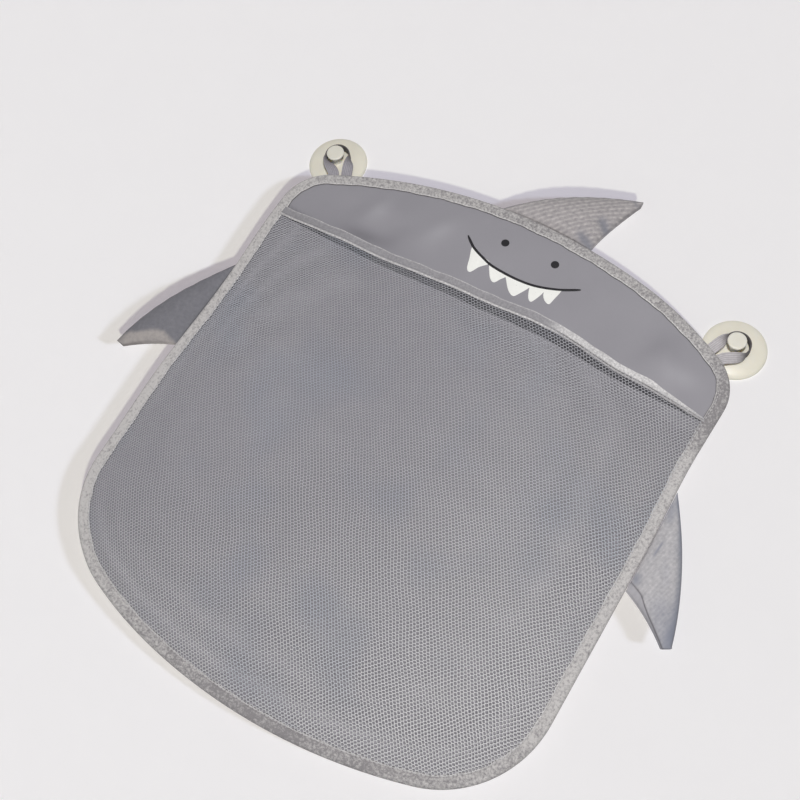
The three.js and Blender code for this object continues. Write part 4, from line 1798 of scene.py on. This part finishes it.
@dataclass
class Hanger:
    """A webbing loop sewn to the crown and the suction cup that it holds by the neck."""

    form: BagForm
    side: Side
    cup_span: float = 314.0
    seam_to_cup: float = 15.9
    web_width: float = 7.0
    web_thickness: float = 1.2
    leg_gap: float = 2.4
    slack: float = 3.9
    foot_shift: float = 0.0
    arch_shift: float = 1.0
    neck_radius: float = 3.8
    clearance: float = 0.3
    cup_radius: float = 21.5
    rim_width: float = 1.6
    lip: float = 0.9
    hollow: float = 2.4
    knob_radius: float = 6.3
    knob_length: float = 2.8

    def ribbon(self, finish: Material) -> Piece:
        """The loop: a rounded strip carried up one leg, slackly round the neck and down the other, with a
        quarter twist on each leg.

        Args:
            finish: its material.

        Returns:
            The piece.
        """
        turn_radius = self.neck_radius + self.clearance + self.web_thickness / 2 + self.slack
        foot = (self.leg_gap + self.web_width) / 2
        share = np.linspace(0.0, 1.0, 36)
        first_leg, last_leg = (
            self.foot_shift + sign * foot
            + (self.arch_shift - self.foot_shift + sign * (turn_radius - foot)) * ease(share) for sign in (-1, 1))
        out_leg = self.clearance + (self.seam_to_cup - self.clearance) * share
        angle = np.linspace(np.pi, 0.0, 50)[1:-1]
        across = np.concatenate([first_leg, self.arch_shift + turn_radius * np.cos(angle), last_leg[::-1]])
        out = np.concatenate([out_leg, self.seam_to_cup + turn_radius * np.sin(angle), out_leg[::-1]])
        late = share ** 2.2
        twist = np.concatenate([late, np.ones(len(angle)), 2.0 - late[::-1]])
        centre = np.array([0.0, -self.form.crown_depth])
        outward_way = np.array([self.side.value * self.cup_span / 2, 0.0]) - centre
        outward_way /= np.linalg.norm(outward_way)
        sideways = np.array([outward_way[1], -outward_way[0]])
        flat = (centre + outward_way * self.form.crown_radius + sideways * across[:, None]
                + outward_way * out[:, None])
        middle = np.stack([flat[:, 0], np.full(len(flat), -self.form.wall_to_panel), flat[:, 1]], axis=-1)
        along = unit(np.gradient(middle, axis=0))
        wallward = np.array([0.0, 1.0, 0.0])
        level = unit(np.cross(wallward, along))
        lean = (np.pi / 2 * (1.0 - twist))[:, None]
        width = wallward * np.cos(lean) + level * np.sin(lean)
        thick = np.cross(along, width)
        turn = np.linspace(0.0, TURN, 24, endpoint=False)
        wide = np.sign(np.cos(turn)) * np.abs(np.cos(turn)) ** 0.35 * self.web_width / 2
        deep = np.sign(np.sin(turn)) * np.abs(np.sin(turn)) ** 0.6 * self.web_thickness / 2
        spread = (1.0 + 0.13 * np.abs(twist - 1.0))[:, None, None]
        points = middle[:, None] + width[:, None] * wide[None, :, None] * spread
        points = points + thick[:, None] * deep[None, :, None]
        # Painted shade on the arch, where the loop wraps round the neck.
        dusk = np.broadcast_to((1.0 - np.abs(twist - 1.0))[:, None] ** 2, points.shape[:2])
        chart = np.stack(np.broadcast_arrays(run_along(middle)[:, None], wide[None, :]), axis=-1)
        piece = Sheet.solid(f"{self.side.word}_webbing", points, Sheet.tube(*points.shape[:2]), finish,
                            {"Weave": chart}, {"shade": dusk})
        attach(piece, f"{self.side.word}_loop")
        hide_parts(f"{self.side.word}_loop")
        return piece

    def profile(self) -> Array:
        """The cup's profile as radius and distance from the wall: a flat round knob that tapers to the neck, the
        disc's quarter ellipse, its lip and rim, and the quarter ellipse of the hollow.

        Returns:
            An array of places.
        """
        neck_top = self.form.wall_to_panel + self.web_width / 2 + self.clearance
        neck_foot = self.form.wall_to_panel - self.web_width / 2 - self.clearance
        front, round_edge = neck_top + self.knob_length, 1.1
        knob = [(self.knob_radius * share, front) for share in (0.3, 0.6, 0.75)]
        knob += [(self.knob_radius - round_edge * (1.0 - math.cos(a)), front - round_edge * (1.0 - math.sin(a)))
                 for a in np.radians(np.linspace(90.0, -20.0, 12))]
        knob += [(self.knob_radius - 0.35 - t * (self.knob_radius - self.neck_radius - 0.8),
                  front - 1.6 - t * (self.knob_length - 2.0)) for t in np.linspace(0.15, 1.0, 8)]
        neck = [(self.neck_radius + 0.25, neck_top + 0.15), (self.neck_radius, neck_top - 0.3),
                (self.neck_radius, self.form.wall_to_panel), (self.neck_radius, neck_foot + 0.4),
                (self.neck_radius + 0.12, neck_foot + 0.1)]
        span = self.cup_radius - self.neck_radius - self.clearance
        disc = [(self.neck_radius + self.clearance + span * math.sin(a),
                 self.lip + (neck_foot - self.lip) * math.cos(a) ** 0.95)
                for a in np.radians(np.linspace(3.0, 86.0, 30))]
        lip = [(self.cup_radius + 0.02, 0.72), (self.cup_radius + 0.05, 0.42), (self.cup_radius, 0.12),
               (self.cup_radius - 0.12, 0.0), (self.cup_radius - self.rim_width, 0.0)]
        hollow = [((self.cup_radius - self.rim_width) * math.cos(a), self.hollow * math.sin(a))
                  for a in np.radians(np.linspace(4.0, 89.0, 20))]
        return np.array([(0.02, front)] + knob + neck + disc + lip + hollow + [(0.02, self.hollow)])

    def cup(self, finish: Material) -> Piece:
        """The suction cup: its profile turned round the axis through its middle.

        Args:
            finish: its material.

        Returns:
            The piece.
        """
        profile = self.profile()
        turn = np.linspace(0.0, TURN, 112, endpoint=False)
        x = self.side.value * self.cup_span / 2 + profile[:, :1] * np.cos(turn)[None, :]
        z = profile[:, :1] * np.sin(turn)[None, :]
        points = np.stack([x, np.broadcast_to(-profile[:, 1:], x.shape), z], axis=-1)
        piece = Sheet.solid(f"{self.side.word}_cup_moulding", points, Sheet.tube(*points.shape[:2]), finish)
        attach(piece, f"{self.side.word}_cup")
        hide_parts(f"{self.side.word}_suction_cup")
        return piece

    def make(self, webbing: Material, silicone: Material) -> None:
        """Makes the loop and the cup.

        Args:
            webbing: the loop's material.
            silicone: the cup's material.
        """
        shadowless(self.ribbon(webbing), self.cup(silicone))


# --------------------------------------------------------------------- studio


@dataclass(frozen=True)
class Sun:
    """A wide soft lamp far away: the way its light travels, its strength, its width in degrees and its colour."""

    name: str
    way: Triple
    strength: float
    spread: float
    colour: Colour

    def make(self) -> Piece:
        """Makes the lamp.

        Returns:
            The lamp.
        """
        data = bpy.data.lights.new(self.name, "SUN")
        data.energy, data.angle, data.color = self.strength, math.radians(self.spread), self.colour
        lamp = bpy.data.objects.new(self.name, data)
        lamp.rotation_euler = Vector(self.way).to_track_quat("-Z", "Y").to_euler()
        bpy.context.scene.collection.objects.link(lamp)
        return lamp


@dataclass(frozen=True)
class Studio:
    """The wall behind the bag, a pale floor far below it, the lamps and the camera."""

    pale: Colour = tint(233, 231, 232)
    ambient: float = 0.16
    sky: Colour = (0.97, 0.98, 1.0)
    wall_suns: tuple[Sun, ...] = (
        Sun("wall_low", (-0.576, 0.589, 0.566), 1.78, 4.0, (0.98, 1.0, 0.8)),
        Sun("wall_side", (-0.875, 0.466, -0.135), 1.5, 6.0, (0.72, 0.79, 1.0)))
    bag_suns: tuple[Sun, ...] = (
        Sun("overhead", (0.0, 0.25, -0.97), 0.15, 50.0, (0.97, 0.98, 1.0)),
        Sun("behind", (0.1, -0.9, -0.3), 1.6, 40.0, (1.0, 1.0, 1.0)))
    key: float = 8.2
    key_size: float = 0.05
    key_colour: Colour = (1.0, 0.99, 0.98)
    key_place: Triple = (0.18, -1.0, -0.2)
    key_aim: Triple = (0.0, 0.0, -0.17)
    eye: Triple = (0.21092, -0.73040, -0.36610)
    ahead: Triple = (-0.28683, 0.91454, 0.28522)
    right: Triple = (0.84661, 0.10266, 0.52223)
    up: Triple = (-0.44831, -0.39126, 0.80370)
    lens: float = 53.68

    def camera(self) -> None:
        """The camera, placed by the directions it looks in."""
        data = bpy.data.cameras.new("camera")
        data.lens, data.sensor_width, data.clip_start = self.lens, 36.0, 0.01
        camera = bpy.data.objects.new("camera", data)
        columns = [Vector(self.right), Vector(self.up), -Vector(self.ahead), Vector(self.eye)]
        camera.matrix_world = Matrix([[*(c[k] for c in columns)] for k in range(3)] + [[0, 0, 0, 1]])
        bpy.context.scene.collection.objects.link(camera)
        bpy.context.scene.camera = camera

    def wall_finish(self) -> Material:
        """A pale painted wall: part of its colour glows for the camera and part takes the lamps' light, so
        that it keeps the bag's shadow. It lets light from behind pass.

        Returns:
            The material.
        """
        board = Board("pale_wall")
        rays = board.node("ShaderNodeLightPath", {}, {})
        back = board.signal("ShaderNodeNewGeometry", {}, {}, "Backfacing")
        seen = Signal(board, rays.outputs["Is Camera Ray"])
        glossy = Signal(board, rays.outputs["Is Glossy Ray"])
        through = Signal(board, rays.outputs["Is Transmission Ray"])
        grain = board.noise(board.places(), 40.0, 2.0)
        paint = board.node("ShaderNodeBsdfDiffuse", {}, {
            "Color": board.blend_colours(grain, (0.71, 0.71, 0.71), (0.73, 0.73, 0.73)), "Roughness": 0.0})
        glow = board.node("ShaderNodeEmission", {}, {
            "Color": (0.30, 0.267, 0.287, 1.0), "Strength": (seen + glossy + through).clamped()})
        both = board.node("ShaderNodeAddShader", {}, {0: paint.outputs[0], 1: glow.outputs[0]})
        clear = board.node("ShaderNodeBsdfTransparent", {}, {})
        shadow = Signal(board, rays.outputs["Is Shadow Ray"])
        mix = board.node("ShaderNodeMixShader", {}, {
            0: (back + shadow).clamped(), 1: both.outputs[0], 2: clear.outputs[0]})
        board.node("ShaderNodeOutputMaterial", {}, {"Surface": mix.outputs[0]})
        return board.owner

    def floor_finish(self) -> Material:
        """A plain pale floor that lets the light on the wall pass from below.

        Returns:
            The material.
        """
        board = Board("pale_floor")
        rays = board.node("ShaderNodeLightPath", {}, {})
        grain = board.noise(board.places(), 60.0, 2.0)
        paint = board.node("ShaderNodeBsdfDiffuse", {}, {
            "Color": board.blend_colours(grain, (*tint(228, 226, 226), 1.0), (*self.pale, 1.0)), "Roughness": 0.8})
        clear = board.node("ShaderNodeBsdfTransparent", {}, {})
        mix = board.node("ShaderNodeMixShader", {}, {
            0: rays.outputs["Is Shadow Ray"], 1: paint.outputs[0], 2: clear.outputs[0]})
        board.node("ShaderNodeOutputMaterial", {}, {"Surface": mix.outputs[0]})
        return board.owner

    def stage(self) -> Piece:
        """The wall and the floor.

        Returns:
            The wall.
        """
        far, low, behind, face = 2500.0, -1400.0, 0.6, np.array([[0, 1, 2, 3]])
        upright = np.array([[-far, behind, low], [far, behind, low], [far, behind, far], [-far, behind, far]])
        wall = Sheet.mesh("wall", upright, face, self.wall_finish())
        level = np.array([[-far, -far, low], [far, -far, low], [far, far, low], [-far, far, low]])
        floor = Sheet.mesh("floor", level, face, self.floor_finish())
        return wall

    def lights(self, wall: Piece) -> None:
        """The lamps. Those that shape the bag leave the wall alone, and two suns light nothing but the wall, so
        that it is evenly pale and keeps the bag's shadows.

        Args:
            wall: the wall.
        """
        spared = bpy.data.collections.new("all_but_the_wall")
        only = bpy.data.collections.new("the_wall_alone")
        for group, state in ((spared, "EXCLUDE"), (only, "INCLUDE")):
            group.objects.link(wall)
            for member in group.collection_objects:
                member.light_linking.link_state = state
        for sun in self.wall_suns:
            lamp = sun.make()
            lamp.light_linking.receiver_collection = only
            lamp.light_linking.blocker_collection = shadowless()
        data = bpy.data.lights.new("key", "AREA")
        data.shape, data.size, data.energy, data.color = "DISK", self.key_size, self.key, self.key_colour
        key = bpy.data.objects.new("key", data)
        key.location = self.key_place
        key.rotation_euler = (Vector(self.key_aim) - key.location).to_track_quat("-Z", "Y").to_euler()
        key.visible_camera = False
        bpy.context.scene.collection.objects.link(key)
        for lamp in (key, *(sun.make() for sun in self.bag_suns)):
            lamp.light_linking.receiver_collection = spared

    def world(self) -> None:
        """The world: a soft even light on the pieces and a plain pale colour where the camera sees it."""
        board = Board("studio", "worlds")
        soft = board.node("ShaderNodeBackground", {}, {0: (*self.sky, 1.0), 1: self.ambient})
        plain = board.node("ShaderNodeBackground", {}, {0: (*self.pale, 1.0)})
        rays = board.node("ShaderNodeLightPath", {}, {})
        mix = board.node("ShaderNodeMixShader", {}, {
            0: rays.outputs["Is Camera Ray"], 1: soft.outputs[0], 2: plain.outputs[0]})
        board.node("ShaderNodeOutputWorld", {}, {"Surface": mix.outputs[0]})
        bpy.context.scene.world = board.owner

    def make(self) -> None:
        """Sets the camera, the stage, the lamps and the world."""
        self.camera()
        self.lights(self.stage())
        self.world()
        bpy.context.scene.view_settings.view_transform = "Standard"


def main() -> None:
    """Builds the organizer and its studio and reports each piece."""
    logging.basicConfig(level=logging.INFO, format="%(name)s: %(message)s")
    form = BagForm()
    Studio().make()
    tape = WovenTape().make("binding_tape")
    thread = SewingThread().make("sewing_thread")
    dark_ink = PrintInk(light=tint(36, 35, 39), dark=tint(27, 26, 30), roughness=0.6).make("dark_ink")
    white_ink = PrintInk(light=tint(246, 246, 242), dark=tint(236, 236, 232)).make("white_ink")
    BackPanel(form).make(CoatedFabric().make("coated_fabric"), dark_ink, white_ink)
    EdgeTape(form).make(tape, thread)
    hem_tape = WovenTape(light=tint(160, 158, 162), dark=tint(142, 140, 144), reverse_and_painted_highlight=tint(228, 226, 226),
                         reverse_and_painted_highlight_dark=tint(186, 184, 185)).make("hem_tape")
    Pocket(form).make(NetYarn().make("net_yarn"), hem_tape, thread)
    # Painted shade: the left fin's canvas is a darker copy of the fin canvas, with a painted lit strip.
    shaded_left_canvas = Canvas(light=tint(128, 127, 133), dark=tint(110, 110, 116), strip=tint(166, 160, 157), check=1.6,
                         contrast=0.12, depth=0.06, lean=20.0, fold=tint(98, 98, 104), seam=tint(84, 80, 80))
    right_canvas = Canvas(light=tint(198, 195, 197), dark=tint(150, 149, 153), strip=tint(164, 162, 167), check=2.3,
                          contrast=0.35, depth=0.12, lean=75.0, fold=tint(124, 128, 142), seam=tint(100, 98, 102))
    Fins(form).make(Canvas().make("dorsal_canvas"), shaded_left_canvas.make("shaded_left_fin_canvas"),
                    right_canvas.make("right_fin_canvas"))
    silicone = Silicone().make("silicone")
    # Painted light and shade: the right loop's webbing is a lighter copy and the left's a darker one.
    for side, shift, webbing in (
            (Side.LEFT, 4.4, Webbing(light=tint(176, 173, 180), dark=tint(128, 125, 131))),
            (Side.RIGHT, -2.0, Webbing(light=tint(208, 204, 207), dark=tint(146, 142, 145)))):
        Hanger(form, side, foot_shift=shift).make(webbing.make(f"{side.word}_webbing_cloth"), silicone)


if __name__ == "__main__":
    main()
